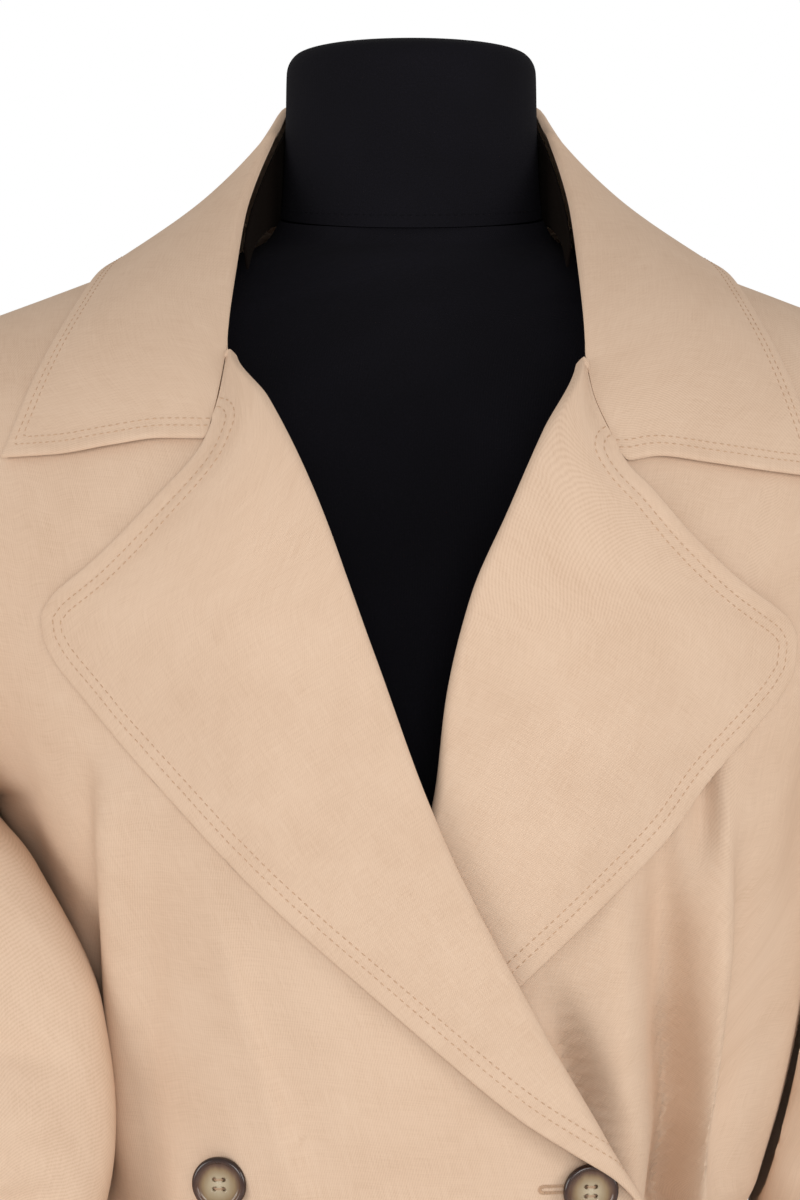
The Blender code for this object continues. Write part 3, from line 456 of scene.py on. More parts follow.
def foldLift(side, x, level, creased=True):
    lift = 0.0
    for place, widthRight, widthLeft, depth in foldsAt(side, level, creased):
        across = (x - place) / (widthRight if x < place else widthLeft)
        if abs(across) < trunkLook["foldReach"]:
            lift += depth * math.exp(-across * across)
    flare = ramp(trunkLook["fluteTop"], trunkLook["hem"], level)
    if flare > 0.0:
        across = min(1.0, abs(x) / halfWidth(x, level))
        around = math.atan2(side * math.sqrt(1.0 - across * across), math.copysign(across, x))
        wave = math.sin(trunkLook["flutes"] * around + trunkLook["fluteSway"] * math.sin(2.0 * around))
        flatFront = ramp(*trunkLook["flatFront"], abs(x)) if side < 0 else 1.0
        lift += trunkLook["fluteDepth"] * flare * flatFront * wave
    awayFromBelt = ramp(*trunkLook["beltClear"], abs(level - trunkLook["belt"]))
    place = Vector((x, side * trunkLook["rumpleBehind"], level * trunkLook["rumpleStretch"]))
    return lift + trunkLook["rumple"] * awayFromBelt * noise.noise(place / trunkLook["rumpleSize"])


def pleatDepth(x, level):
    depth = 0.0
    for lowX, lowZ, highX, highZ, inner, outer, deep in frontPleats:
        inside = foldStrength(lowZ, highZ, level)
        place = mix(lowX, highX, (level - lowZ) / (highZ - lowZ))
        across = (x - place) / (inner if x < place else outer)
        if inside > 0.0 and abs(across) < trunkLook["foldReach"]:
            depth += deep * inside * math.exp(-across * across)
    return depth


@functools.lru_cache(maxsize=None)
def normalLevels(level):
    low = min(level, trunkLook["shoulderPoint"] - 2.0 * trunkLook["step"])
    return low - trunkLook["step"], low + trunkLook["step"]


def onTrunk(side, x, level, lift=0.0, folded=True, creased=True):
    # point at a distance outside the trunk's surface, folds included
    step = trunkLook["step"]
    innerX = max(-halfWidth(-1.0, level), x - step)
    outerX = min(halfWidth(1.0, level), x + step)
    below, above = normalLevels(level)
    across = bareTrunk(side, outerX, level) - bareTrunk(side, innerX, level)
    up = bareTrunk(side, x, above) - bareTrunk(side, x, below)
    normal = (across.cross(up) * -side).normalized()
    if folded:
        lift += foldLift(side, x, level, creased)
    point = bareTrunk(side, x, level) + normal * lift
    if folded and creased and side < 0:
        point.y += pleatDepth(x, level)
    return point


def overlapAt(level):
    # height of the outer front over the inner one, where they lie on each other
    full = mix(trunkLook["overlapSkirt"], trunkLook["overlap"], ramp(*trunkLook["overlapBelt"], level))
    return full * ramp(*trunkLook["overlapTop"], level)


def outerLift(x, level):
    return overlapAt(level) * ramp(trunkLook["overlapStart"], trunkLook["overlapFull"], x)


def innerLift(x, level):
    return outerLift(x, level) - overlapAt(level)


# sheets of cloth: a grid whose points are moved onto the coat's surface
def measureSheet(points, closed):
    # distances along rows and columns, for a weave of real scale
    across = np.linalg.norm(np.diff(points, axis=0), axis=2)
    along = np.linalg.norm(np.diff(points, axis=1), axis=2)
    u = np.concatenate([np.zeros((1, points.shape[1])), np.cumsum(across, axis=0)], axis=0)
    v = np.concatenate([np.zeros((points.shape[0], 1)), np.cumsum(along, axis=1)], axis=1)
    if not closed:
        u -= u[len(u) // 2][None, :]
    return u, v


def gridNormals(points, closed):
    if closed:
        wrapped = np.concatenate([points[-2:-1], points, points[1:2]], axis=0)
        across = wrapped[2:] - wrapped[:-2]
    else:
        across = np.gradient(points, axis=0)
    along = np.gradient(points, axis=1)
    normals = np.cross(across, along)
    return normals / np.maximum(np.linalg.norm(normals, axis=2, keepdims=True), 1e-12)


def distanceTo(points, line):
    # shortest distance from each grid point to a line of points
    flat = points.reshape(-1, 3)
    best = np.full(len(flat), np.inf)
    for start, end in zip(line[:-1], line[1:]):
        run = end - start
        share = np.clip(((flat - start) @ run) / max(float(run @ run), 1e-12), 0.0, 1.0)
        best = np.minimum(best, np.linalg.norm(flat - (start + share[:, None] * run), axis=1))
    return best.reshape(points.shape[:2])


swellLook = {"fullWidth": 0.007, "fullness": 0.6, "flat": 0.55, "fadeIn": 0.004, "edgeDrop": 0.7}


def puffProfile(distance, rows, swell, roundness):
    # a turned and stitched edge: rounded off, swelling between its rows of stitches and flatter past the last
    height = np.zeros_like(distance)
    stops = [0.0] + list(rows)
    for near, far in zip(stops[:-1], stops[1:]):
        inside = (distance >= near) & (distance <= far)
        share = (distance[inside] - near) / (far - near)
        strength = swell * min(1.0, (far - near) / swellLook["fullWidth"])
        height[inside] += strength * np.sin(math.pi * share) ** swellLook["fullness"]
    past = distance > stops[-1]
    fading = np.exp(-(distance[past] - stops[-1]) / swellLook["fadeIn"])
    height[past] += swell * swellLook["flat"] * (1.0 - fading)
    edge = np.clip(distance / roundness, 0.0, 1.0)
    return height - roundness * (1.0 - np.sqrt(1.0 - (1.0 - edge) ** 2)) * swellLook["edgeDrop"]


def gridPoints(place, columns, rows):
    return np.array([[place(i / columns, j / rows) for j in range(rows + 1)] for i in range(columns + 1)])


def clothPiece(name, points, finish, wall, closed=False, inward=True, rounding=0.0004):
    # the grid as an object: weave coordinates in metres, then a wall and softened rims
    columns, rows = points.shape[0] - 1, points.shape[1] - 1
    mesh = bmesh.new()
    weave = mesh.loops.layers.uv.new("cloth")
    bmesh.ops.create_grid(mesh, x_segments=columns, y_segments=rows, size=0.5)
    u, v = measureSheet(points, closed)
    for face in mesh.faces:
        for loop in face.loops:
            i = round((loop.vert.co.x + 0.5) * columns)
            j = round((loop.vert.co.y + 0.5) * rows)
            loop[weave].uv = (u[i, j], v[i, j])
    for vert in mesh.verts:
        vert.co = points[round((vert.co.x + 0.5) * columns), round((vert.co.y + 0.5) * rows)]
    if closed:
        bmesh.ops.remove_doubles(mesh, verts=mesh.verts, dist=1e-6)
    return finishPiece(name, mesh, finish, wall, inward, rounding)


def closedPiece(name, points, finish):
    # a round shape without a wall
    return clothPiece(name, points, finish, 0.0, closed=True, rounding=0.0)


def finishPiece(name, mesh, finish, wall=0.0, inward=True, rounding=0.0):
    data = bpy.data.meshes.new(name)
    mesh.to_mesh(data)
    mesh.free()
    return finishData(name, data, finish, wall, inward, rounding)


def finishData(name, data, finish, wall=0.0, inward=True, rounding=0.0):
    data.shade_smooth()
    data.materials.append(finish)
    piece = bpy.data.objects.new(name, data)
    scene.collection.objects.link(piece)
    if wall:
        shell = piece.modifiers.new("wall", "SOLIDIFY")
        shell.thickness = wall
        shell.offset = -1.0 if inward else 1.0
    if rounding:
        rim = piece.modifiers.new("rim", "BEVEL")
        rim.width = rounding
        rim.segments = 2
        rim.limit_method = "ANGLE"
        rim.angle_limit = math.radians(60.0)
    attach(piece, "root")
    return piece


# rows of stitches: real small stitches laid along lines at set distances from an edge
stitchLook = {
    "pitch": 0.0037, "length": 0.0023, "width": 0.00060, "height": 0.00050, "proud": 0.00004,
    "shortest": 0.008, "weaveShift": 0.004, "beadSides": 6, "beadRings": 4,
}


def contourLines(points, normals, field, distance):
    # lines on the grid along which the field has one value, as lists of (point, normal)
    columns, rows = field.shape
    crossings, links = {}, {}

    def crossing(a, b):
        key = (a, b) if a < b else (b, a)
        if key not in crossings:
            share = (distance - field[key[0]]) / (field[key[1]] - field[key[0]])
            point = points[key[0]] + (points[key[1]] - points[key[0]]) * share
            normal = normals[key[0]] + (normals[key[1]] - normals[key[0]]) * share
            crossings[key] = (Vector(point), Vector(normal).normalized())
        return key

    for i in range(columns - 1):
        for j in range(rows - 1):
            corners = [(i, j), (i + 1, j), (i + 1, j + 1), (i, j + 1)]
            above = [field[corner] > distance for corner in corners]
            if all(above) or not any(above):
                continue
            sides = [(k, (k + 1) % 4) for k in range(4) if above[k] != above[(k + 1) % 4]]
            cut = [crossing(corners[one], corners[other]) for one, other in sides]
            for first, second in zip(cut[0::2], cut[1::2]):
                links.setdefault(first, []).append(second)
                links.setdefault(second, []).append(first)
    lines = []
    while links:
        start = next((key for key in links if len(links[key]) == 1), next(iter(links)))
        line, here = [crossings[start]], start
        while links.get(here):
            following = links[here].pop()
            links[following].remove(here)
            if not links[here]:
                del links[here]
            line.append(crossings[following])
            here = following
        links.pop(here, None)
        lines.append(line)
    return lines


def stitchesAlong(line):
    # evenly spaced stitch places along one line: (place, direction, normal)
    steps = [(b[0] - a[0]).length for a, b in zip(line[:-1], line[1:])]
    total = sum(steps)
    if total < stitchLook["shortest"]:
        return []
    count = max(1, round(total / stitchLook["pitch"]))
    places, travelled, k = [], 0.0, 0
    for n in range(count):
        want = (n + 0.5) * total / count
        while k < len(steps) - 1 and travelled + steps[k] < want:
            travelled += steps[k]
            k += 1
        share = (want - travelled) / max(steps[k], 1e-9)
        place = line[k][0].lerp(line[k + 1][0], share)
        places.append((place, (line[k + 1][0] - line[k][0]).normalized(), line[k][1]))
    return places


def beadShape():
    # a small faceted bead of radius 1 about the origin: points and faces
    mesh = bmesh.new()
    bmesh.ops.create_uvsphere(mesh, u_segments=stitchLook["beadSides"], v_segments=stitchLook["beadRings"],
                              radius=1.0, matrix=Matrix.Rotation(math.radians(90.0), 4, "Y"))
    mesh.verts.ensure_lookup_table()
    spots = np.array([vert.co[:] for vert in mesh.verts])
    faces = [[vert.index for vert in face.verts] for face in mesh.faces]
    mesh.free()
    return spots, faces


def stitchPiece(name, places, finish, look=stitchLook):
    # all the stitches of one piece in one mesh; each is a small flattened bead of thread
    spots, faces = beadShape()
    half = np.array((look["length"], look["width"], look["height"])) / 2.0
    verts, corners, weave = [], [], []
    for number, (place, direction, normal) in enumerate(places):
        side = normal.cross(direction).normalized()
        up = direction.cross(side).normalized()
        moved = (spots * half) @ np.array((direction, side, up)) + np.array(place + up * look["proud"])
        verts.append(moved)
        corners += [[number * len(spots) + k for k in face] for face in faces]
        shift = number * stitchLook["weaveShift"]
        weave += [(shift + spots[k][0] * half[0], spots[k][1] * half[1]) for face in faces for k in face]
    data = bpy.data.meshes.new(name)
    data.from_pydata(np.concatenate(verts), [], corners)
    data.uv_layers.new(name="cloth").data.foreach_set("uv", np.array(weave).ravel())
    return finishData(name, data, finish)


def sewRows(name, points, *rows):
    # stitches along a sheet, in rows of (distances from an edge, distance of each grid point from it)
    normals = gridNormals(points, False)
    places = []
    for distances, field in rows:
        for distance in distances:
            for line in contourLines(points, normals, field, distance):
                places += stitchesAlong(line)
    stitchPiece(name, places, thread)


def standFor(piece, node):
    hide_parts(node)
    return piece


def sampled(place, count=160):
    # a line of points for a function of one number from 0 to 1
    return np.array([place(k / count) for k in range(count + 1)])


# the fronts: roll lines, then panels from the front edge to the side seam
rollRight = Table(
    "z x",
    (0.320, 0.116), (0.800, 0.104), (0.945, 0.1010), (0.9814, 0.0845), (1.0373, 0.0541), (1.1297, 0.0088),
    (1.1988, -0.0163), (1.2662, -0.0410), (1.3121, -0.0637), (1.3335, -0.0790), (1.3700, -0.0805),
    (1.4055, -0.0765),
)
rollLeft = Table(
    "z x",
    (0.320, -0.116), (0.800, -0.104), (0.945, -0.0990), (1.0000, -0.0540), (1.0600, -0.0180),
    (1.1350, 0.0092), (1.1808, 0.0150), (1.2256, 0.0260), (1.2617, 0.0418), (1.2979, 0.0580),
    (1.3290, 0.0736), (1.3700, 0.0775), (1.4055, 0.0765),
)
panelLevels = Table(
    "v level",
    (0.00, 0.32), (0.26, 0.850), (0.34, 0.90), (0.42, 0.945), (0.62, 1.13), (0.79, 1.2375),
)
panelLook = {
    "wall": 0.0013, "edgeInset": 0.0045, "seamGap": 0.0003, "columns": 150, "backColumns": 120, "rows": 150,
    "edgeRows": (0.0075, 0.0120), "edgeRowsTop": 0.935, "edgeTo": 0.42, "hemRow": (0.025,),
    "armholeRow": (0.0065,), "armholeFrom": 0.62, "armholeRound": 0.0004, "armholeShare": 0.6,
    "swell": 0.0005, "roundness": 0.0008, "frontSink": 0.000715, "backSink": 0.000605,
    "breakZ": (0.928, 0.95), "neckHalf": 0.0800, "neckTrim": 0.004, "neckTrimZ": (1.312, 1.328),
    "backNeckTurn": math.radians(62.0), "crowding": 1.5,
    "frontCut": (0.44, 1.12), "frontArea": 0.40, "backCut": (0.72, 1.12), "backArea": 0.65,
}


@functools.lru_cache(maxsize=None)
def panelLevel(v):
    top = panelLevels.first[-1]
    if v <= top:
        return panelLevels.at(v, "level")
    sine = math.sin((v - top) / (1.0 - top) * math.pi / 2.0)
    return mix(trunkLook["armholeMiddle"], trunkLook["shoulderPoint"], sine)


@functools.lru_cache(maxsize=None)
def rollAt(roll, level):
    # where a roll line or neck seam crosses a level of the trunk
    x = roll.at(level, "x")
    middle = trunkLook["armholeMiddle"]
    for _ in range(4):
        z = mix(middle, shoulderHeight(x), turnOf(level))
        x = roll.at(level if level <= middle else z, "x")
    return x


def keepSide(point, side):
    edge = panelLook["seamGap"] / 2.0
    point.y = min(point.y, -edge) if side < 0 else max(point.y, edge)
    return point


def crowded(u):
    # finer columns near the front edge and near the side seam
    return math.sin(u ** panelLook["crowding"] * math.pi / 2.0)


def frontPlace(roll, sign, lift):
    def place(u, v):
        level = panelLevel(v)
        start = rollAt(roll, level) + sign * panelLook["edgeInset"] * ramp(*panelLook["breakZ"], level)
        start += sign * panelLook["neckTrim"] * ramp(*panelLook["neckTrimZ"], level)
        x = mix(start, sign * halfWidth(sign, level), crowded(u))
        return keepSide(onTrunk(-1, x, level, lift(x, level)), -1)

    return place


def backPlace(u, v):
    fraction = math.sin((u - 0.5) * math.pi)
    top = panelLevels.first[-1]
    level = panelLevel(v)
    if v > top:
        neck = panelLook["neckHalf"] / halfWidth(fraction, trunkLook["shoulderPoint"])
        full = math.pi / 2.0
        if abs(fraction) < neck:
            full = mix(full, panelLook["backNeckTurn"], math.sqrt(1.0 - (fraction / neck) ** 2))
        sine = math.sin(full * (v - top) / (1.0 - top))
        level = mix(trunkLook["armholeMiddle"], trunkLook["shoulderPoint"], sine)
    x = fraction * halfWidth(fraction, level)
    return keepSide(onTrunk(1, x, level), 1)


def armholeSwell(toArmhole):
    swell = panelLook["swell"] * panelLook["armholeShare"]
    return puffProfile(toArmhole, panelLook["armholeRow"], swell, panelLook["armholeRound"])


def buildFront(name, node, roll, sign, lift):
    place = frontPlace(roll, sign, lift)
    points = gridPoints(place, panelLook["columns"], panelLook["rows"])
    if sign < 0:
        points = points[::-1]
    normals = gridNormals(points, False)
    toEdge = distanceTo(points, sampled(lambda t: place(0.0, mix(0.0, panelLook["edgeTo"], t))))
    toHem = distanceTo(points, sampled(lambda t: place(t, 0.0)))
    toArmhole = distanceTo(points, sampled(lambda t: place(1.0, mix(panelLook["armholeFrom"], 1.0, t))))
    height = puffProfile(toEdge, panelLook["edgeRows"], panelLook["swell"], panelLook["roundness"])
    height += puffProfile(toHem, panelLook["hemRow"], panelLook["swell"], panelLook["roundness"])
    height += armholeSwell(toArmhole)
    raised = points + normals * (height - panelLook["frontSink"])[:, :, None]
    raised[:, :, 1] = np.minimum(raised[:, :, 1], -panelLook["seamGap"] / 2.0)
    piece = standFor(clothPiece(name, raised, twill, panelLook["wall"]), node)
    belowLapel = np.where(points[:, :, 2] < panelLook["edgeRowsTop"], toEdge, 1.0)
    sewRows(name + "Stitches", raised, (panelLook["edgeRows"], belowLapel), (panelLook["hemRow"], toHem),
            (panelLook["armholeRow"], toArmhole))


def buildBack():
    points = gridPoints(backPlace, panelLook["backColumns"], panelLook["rows"])[::-1]
    normals = gridNormals(points, False)
    hem = sampled(lambda t: backPlace(t, 0.0))
    toHem = distanceTo(points, hem)
    height = puffProfile(toHem, panelLook["hemRow"], panelLook["swell"], panelLook["roundness"])
    top = panelLook["armholeFrom"]
    armholes = [distanceTo(points, sampled(lambda t: backPlace(u, mix(top, 1.0, t)))) for u in (0.0, 1.0)]
    for toArmhole in armholes:
        height += armholeSwell(toArmhole)
    raised = points + normals * (height - panelLook["backSink"])[:, :, None]
    raised[:, :, 1] = np.maximum(raised[:, :, 1], panelLook["seamGap"] / 2.0)
    piece = standFor(clothPiece("backPanel", raised, twill, panelLook["wall"]), "back")
    sewRows("backStitches", raised, (panelLook["hemRow"], toHem),
            *[(panelLook["armholeRow"], toArmhole) for toArmhole in armholes])


buildFront("frontRight", "front_right", rollRight, -1.0, outerLift)
buildFront("frontLeft", "front_left", rollLeft, 1.0, innerLift)
buildBack()
print("fronts and back hung")


# lapels: they roll out of the fronts' edges and lie back over them
lapelLook = {
    "wall": 0.0022, "columns": 72, "rows": 210, "leastWidth": 0.0016, "rollRadius": 0.0045,
    "liftAtRoll": 0.0012, "lift": 0.0042, "liftAtBreak": 0.0088, "innerLift": 0.0053, "breakZ": (0.975, 1.03),
    "bulge": 0.0030, "bulgeShift": 1.15, "bulgeX": (0.03, 0.08),
    "stitchRows": (0.0075, 0.0120), "swell": 0.00055, "roundness": 0.0012, "sink": 0.000165,
    "rightNotch": 0.905, "leftNotch": 0.86, "cut": (0.20, 0.44), "area": 0.034,
}
lapelEdgeRight = Table(
    "z x",
    (0.9500, 0.0955), (0.9590, 0.0925), (0.9687, 0.0845), (0.9814, 0.0664), (0.9938, 0.0484),
    (1.0395, -0.0053), (1.0923, -0.0634), (1.1350, -0.1060), (1.1720, -0.1399), (1.1964, -0.1603),
    (1.2065, -0.1650), (1.2160, -0.1660), (1.2250, -0.1610), (1.2425, -0.1399), (1.2665, -0.1150),
    (1.2925, -0.0918), (1.3127, -0.0852), (1.3320, -0.0822),
)
lapelEdgeLeft = Table(
    "z x",
    (0.9700, -0.0700), (0.9850, -0.0400), (1.0200, 0.0120), (1.0540, 0.0484), (1.0914, 0.0867),
    (1.1192, 0.1135), (1.1425, 0.1307), (1.1662, 0.1518), (1.1805, 0.1643), (1.1920, 0.1705),
    (1.2053, 0.1719), (1.2140, 0.1685), (1.2323, 0.1449), (1.2527, 0.1223), (1.2720, 0.1050),
    (1.2825, 0.0945), (1.2953, 0.0869), (1.3127, 0.0794), (1.3280, 0.0764),
)


def lapelPlace(roll, edge, sign, baseLift, overBreak):
    def place(u, v):
        z = edge.along(v, "z")
        start = roll.at(z, "x")
        end = edge.along(v, "x")
        if abs(end - start) < lapelLook["leastWidth"]:
            end = start + sign * lapelLook["leastWidth"]
        share = u * u * (3.0 - 2.0 * u)
        x = mix(start, end, share)
        level = levelOf(x, z)
        away = min(1.0, abs(x - start) / lapelLook["rollRadius"])
        rise = math.sqrt(1.0 - (1.0 - away) ** 2)
        height = lapelLook["innerLift"]
        if overBreak:
            height = mix(lapelLook["liftAtBreak"], lapelLook["lift"], ramp(*lapelLook["breakZ"], z))
        belly = math.sin(math.pi * min(1.0, share * lapelLook["bulgeShift"]))
        height += lapelLook["bulge"] * belly * ramp(*lapelLook["bulgeX"], sign * x)
        lift = baseLift(x, level) + mix(lapelLook["liftAtRoll"], height, rise)
        return onTrunk(-1, x, level, lift, creased=False)

    return place


def buildLapel(name, node, roll, edge, sign, baseLift, notch):
    # the outer lapel also lies over the break, where the fronts meet
    place = lapelPlace(roll, edge, sign, baseLift, sign < 0)
    points = gridPoints(place, lapelLook["columns"], lapelLook["rows"])
    if sign < 0:
        points = points[::-1]
    normals = gridNormals(points, False)
    free = sampled(lambda t: place(1.0, t * notch), 260)
    toEdge = distanceTo(points, free)
    height = puffProfile(toEdge, lapelLook["stitchRows"], lapelLook["swell"], lapelLook["roundness"])
    raised = points + normals * (height - lapelLook["sink"])[:, :, None]
    piece = standFor(clothPiece(name, raised, twill, lapelLook["wall"]), node)
    sewRows(name + "Stitches", raised, (lapelLook["stitchRows"], toEdge))


buildLapel("lapelRight", "lapel_right", rollRight, lapelEdgeRight, -1.0, outerLift, lapelLook["rightNotch"])
buildLapel("lapelLeft", "lapel_left", rollLeft, lapelEdgeLeft, 1.0, innerLift, lapelLook["leftNotch"])
print("lapels folded")


# collar: stations from the gorge to the centre back, each from the neck seam to the outer edge
collarRight = Table(
    "station neckX neckTurn edgeX edgeTurn rise",
    (0, -0.0826, 36.0, -0.1870, 25.0, 0.000),
    (1, -0.0815, 49.0, -0.1745, 39.0, 0.003),
    (2, -0.0795, 65.0, -0.1565, 62.0, 0.012),
    (3, -0.0690, 90.0, -0.1440, 90.0, 0.037),
    (4, -0.0640, 104.0, -0.1290, 109.0, 0.059),
    (5, -0.0500, 111.0, -0.1000, 125.0, 0.066),
    (6, -0.0260, 116.0, -0.0530, 134.0, 0.067),
    (7, 0.0000, 118.0, 0.0000, 138.0, 0.067),
)
collarLeft = Table(
    "station neckX neckTurn edgeX edgeTurn rise",
    (0, 0.0770, 34.0, 0.1880, 20.0, 0.000),
    (1, 0.0768, 48.0, 0.1755, 37.0, 0.003),
    (2, 0.0758, 65.0, 0.1595, 60.0, 0.012),
    (3, 0.0690, 90.0, 0.1460, 90.0, 0.037),
    (4, 0.0640, 104.0, 0.1310, 109.0, 0.059),
    (5, 0.0500, 111.0, 0.1010, 125.0, 0.066),
    (6, 0.0260, 116.0, 0.0540, 134.0, 0.067),
    (7, 0.0000, 118.0, 0.0000, 138.0, 0.067),
)
collarEndRight = Table(
    "x z",
    (-0.0826, 1.3345), (-0.0848, 1.3200), (-0.0876, 1.3060), (-0.0924, 1.2937), (-0.1120, 1.2942),
    (-0.1350, 1.2915), (-0.1600, 1.2880), (-0.1870, 1.2872),
)
collarEndLeft = Table(
    "x z",
    (0.0770, 1.3310), (0.0796, 1.3150), (0.0860, 1.2990), (0.0952, 1.2840), (0.1100, 1.2862),
    (0.1330, 1.2836), (0.1600, 1.2805), (0.1880, 1.2780),
)
collarLook = {
    "wall": 0.0020, "columns": 180, "rows": 60, "endFade": 0.22, "lift": 0.0042, "bulge": 0.0045,
    "lean": 0.06, "fallPower": 2.6, "neckY": 0.010, "crowding": 1.35, "gorgeShare": 0.42, "runOn": 0.03,
    "stitchRows": (0.0060, 0.0095), "swell": 0.0005, "roundness": 0.0012, "sink": 0.00015, "roll": 0.0036,
    "cut": (0.62, 0.16), "area": 0.074,
    "standStart": 0.24, "standInset": 0.0034, "standFootInset": 0.0010, "standFootLift": -0.0060,
    "standColumns": 120, "standRows": 16, "standWall": 0.0014, "standDrop": 0.0060,
    "standCut": (0.36, 0.075), "standArea": 0.0152,
}


def overShoulder(x, turn, lift):
    side = -1 if turn <= 90.0 else 1
    sine = math.sin(math.radians(turn if side < 0 else 180.0 - turn))
    level = mix(trunkLook["armholeMiddle"], trunkLook["shoulderPoint"], sine)
    return onTrunk(side, x, level, lift, False)


def collarRise(x, y, height):
    toNeck = Vector((-x, collarLook["neckY"] - y, 0.0)).normalized()
    return (Vector((0.0, 0.0, 1.0)) + toNeck * collarLook["lean"]) * height


def collarPoint(u, v):
    right = u <= 0.5
    sides, end = (collarRight, collarEndRight) if right else (collarLeft, collarEndLeft)
    share = 2.0 * min(u, 1.0 - u)
    x = mix(sides.along(share, "neckX"), sides.along(share, "edgeX"), v)
    turn = mix(sides.along(share, "neckTurn"), sides.along(share, "edgeTurn"), v)
    endX, endZ = end.along(v, "x"), end.along(v, "z")
    endTurn = math.degrees(math.asin(turnOf(levelOf(endX, endZ))))
    pull = 1.0 - ramp(0.0, collarLook["endFade"], share)
    x += pull * (endX - mix(sides.along(0.0, "neckX"), sides.along(0.0, "edgeX"), v))
    turn += pull * (endTurn - mix(sides.along(0.0, "neckTurn"), sides.along(0.0, "edgeTurn"), v))
    point = overShoulder(x, turn, collarLook["lift"])
    return point + collarRise(x, point.y, sides.along(share, "rise") * (1.0 - v) ** collarLook["fallPower"])


def nearEnds(share):
    # from 0 to 1, slower near both ends
    power = collarLook["crowding"]
    return 0.5 * (2.0 * share) ** power if share < 0.5 else 1.0 - 0.5 * (2.0 - 2.0 * share) ** power


def beyond(end, inside):
    # one more point straight on past the end of an edge
    return np.array([end + (end - inside).normalized() * collarLook["runOn"]])


def buildCollar():
    columns, rows = collarLook["columns"], collarLook["rows"]
    acrossShares = [nearEnds(i / columns) for i in range(columns + 1)]
    downShares = [nearEnds(j / rows) for j in range(rows + 1)]
    points = np.array([[collarPoint(u, v) for v in downShares] for u in acrossShares])
    normals = gridNormals(points, False)
    swellAlong = np.array([ramp(0.0, collarLook["endFade"], 2.0 * min(u, 1.0 - u)) for u in acrossShares])
    swellDown = np.array([math.sin(math.pi * v) for v in downShares])
    bulge = collarLook["bulge"] * swellAlong[:, None] * swellDown[None, :]
    gorge = collarLook["gorgeShare"]
    further = gorge + 0.25
    edge = np.concatenate([
        beyond(collarPoint(0.0, gorge), collarPoint(0.0, further)),
        sampled(lambda t: collarPoint(0.0, mix(gorge, 1.0, t)), 60),
        sampled(lambda t: collarPoint(nearEnds(t), 1.0), 220),
        sampled(lambda t: collarPoint(1.0, mix(1.0, gorge, t)), 60),
        beyond(collarPoint(1.0, gorge), collarPoint(1.0, further)),
    ])
    toEdge = distanceTo(points, edge)
    height = puffProfile(toEdge, collarLook["stitchRows"], collarLook["swell"], collarLook["roundness"])
    turnedIn = np.clip(distanceTo(points, points[:, 0]) / collarLook["roll"], 0.0, 1.0)
    curl = collarLook["roll"] * (1.0 - np.sqrt(1.0 - (1.0 - turnedIn) ** 2)) * swellAlong[:, None]
    raised = points + normals * (bulge + height - curl - collarLook["sink"])[:, :, None]
    piece = standFor(clothPiece("collarFall", raised, twill, collarLook["wall"]), "collar")
    sewRows("collarStitches", raised, (collarLook["stitchRows"], toEdge))


def collarStandPoint(u, v):
    # inner side of the collar, from the neck seam up to just under the roll edge
    sides = collarRight if u <= 0.5 else collarLeft
    share = mix(collarLook["standStart"], 1.0, 2.0 * min(u, 1.0 - u))
    x, turn = sides.along(share, "neckX"), sides.along(share, "neckTurn")
    seam = overShoulder(x, turn, collarLook["lift"])
    toNeck = Vector((-seam.x, collarLook["neckY"] - seam.y, 0.0)).normalized()
    top = seam + collarRise(x, seam.y, sides.along(share, "rise"))
    top += toNeck * collarLook["standInset"] - Vector((0.0, 0.0, collarLook["standDrop"]))
    foot = overShoulder(x, turn, collarLook["standFootLift"]) + toNeck * collarLook["standFootInset"]
    return foot.lerp(top, v)


def buildCollarStand():
    points = gridPoints(collarStandPoint, collarLook["standColumns"], collarLook["standRows"])
    raised = points + gridNormals(points, False) * collarLook["standWall"]
    # the stand gets the near-black cloth: painted shade for the shadowed inside of the collar
    piece = clothPiece("collarStand", raised, shadedTwill, collarLook["standWall"])
    standFor(piece, "collar_stand")


buildCollar()
buildCollarStand()
print("collar turned down")


# sleeves: rings from the upright armhole to the level cuff; u is 0 next to the body, 0.25 in front
sleeveRight = Table(
    "ring x y z tilt halfWidth halfDepth",
    (0, 0.2165, 0.000, 1.2375, 90.0, 0.1080, 0.080),
    (1, 0.2400, 0.000, 1.2260, 70.0, 0.1000, 0.084),
    (2, 0.2580, -0.003, 1.1980, 50.0, 0.0780, 0.086),
    (3, 0.2550, -0.014, 1.1600, 32.0, 0.0620, 0.086),
    (4, 0.2350, -0.036, 1.1150, 16.0, 0.0550, 0.085),
    (5, 0.2060, -0.060, 1.0450, 6.0, 0.0560, 0.080),
    (6, 0.1990, -0.068, 0.9700, 0.0, 0.0570, 0.077),
    (7, 0.2080, -0.067, 0.9000, 0.0, 0.0550, 0.075),
    (8, 0.2390, -0.062, 0.8200, 0.0, 0.0530, 0.072),
    (9, 0.2670, -0.058, 0.7400, 0.0, 0.0530, 0.069),
)
sleeveLeft = Table(
    "ring x y z tilt halfWidth halfDepth",
    (0, 0.2165, 0.000, 1.2375, 90.0, 0.1080, 0.080),
    (1, 0.2400, 0.000, 1.2260, 70.0, 0.1000, 0.084),
    (2, 0.2585, 0.001, 1.1980, 50.0, 0.0780, 0.086),
    (3, 0.2600, 0.004, 1.1600, 32.0, 0.0620, 0.086),
    (4, 0.2570, 0.010, 1.1150, 16.0, 0.0550, 0.085),
    (5, 0.2450, 0.022, 1.0450, 6.0, 0.0540, 0.082),
    (6, 0.2255, 0.030, 0.9700, 0.0, 0.0555, 0.079),
    (7, 0.2205, 0.030, 0.9000, 0.0, 0.0540, 0.077),
    (8, 0.2450, 0.022, 0.8200, 0.0, 0.0530, 0.073),
    (9, 0.2700, 0.010, 0.7400, 0.0, 0.0530, 0.069),
)
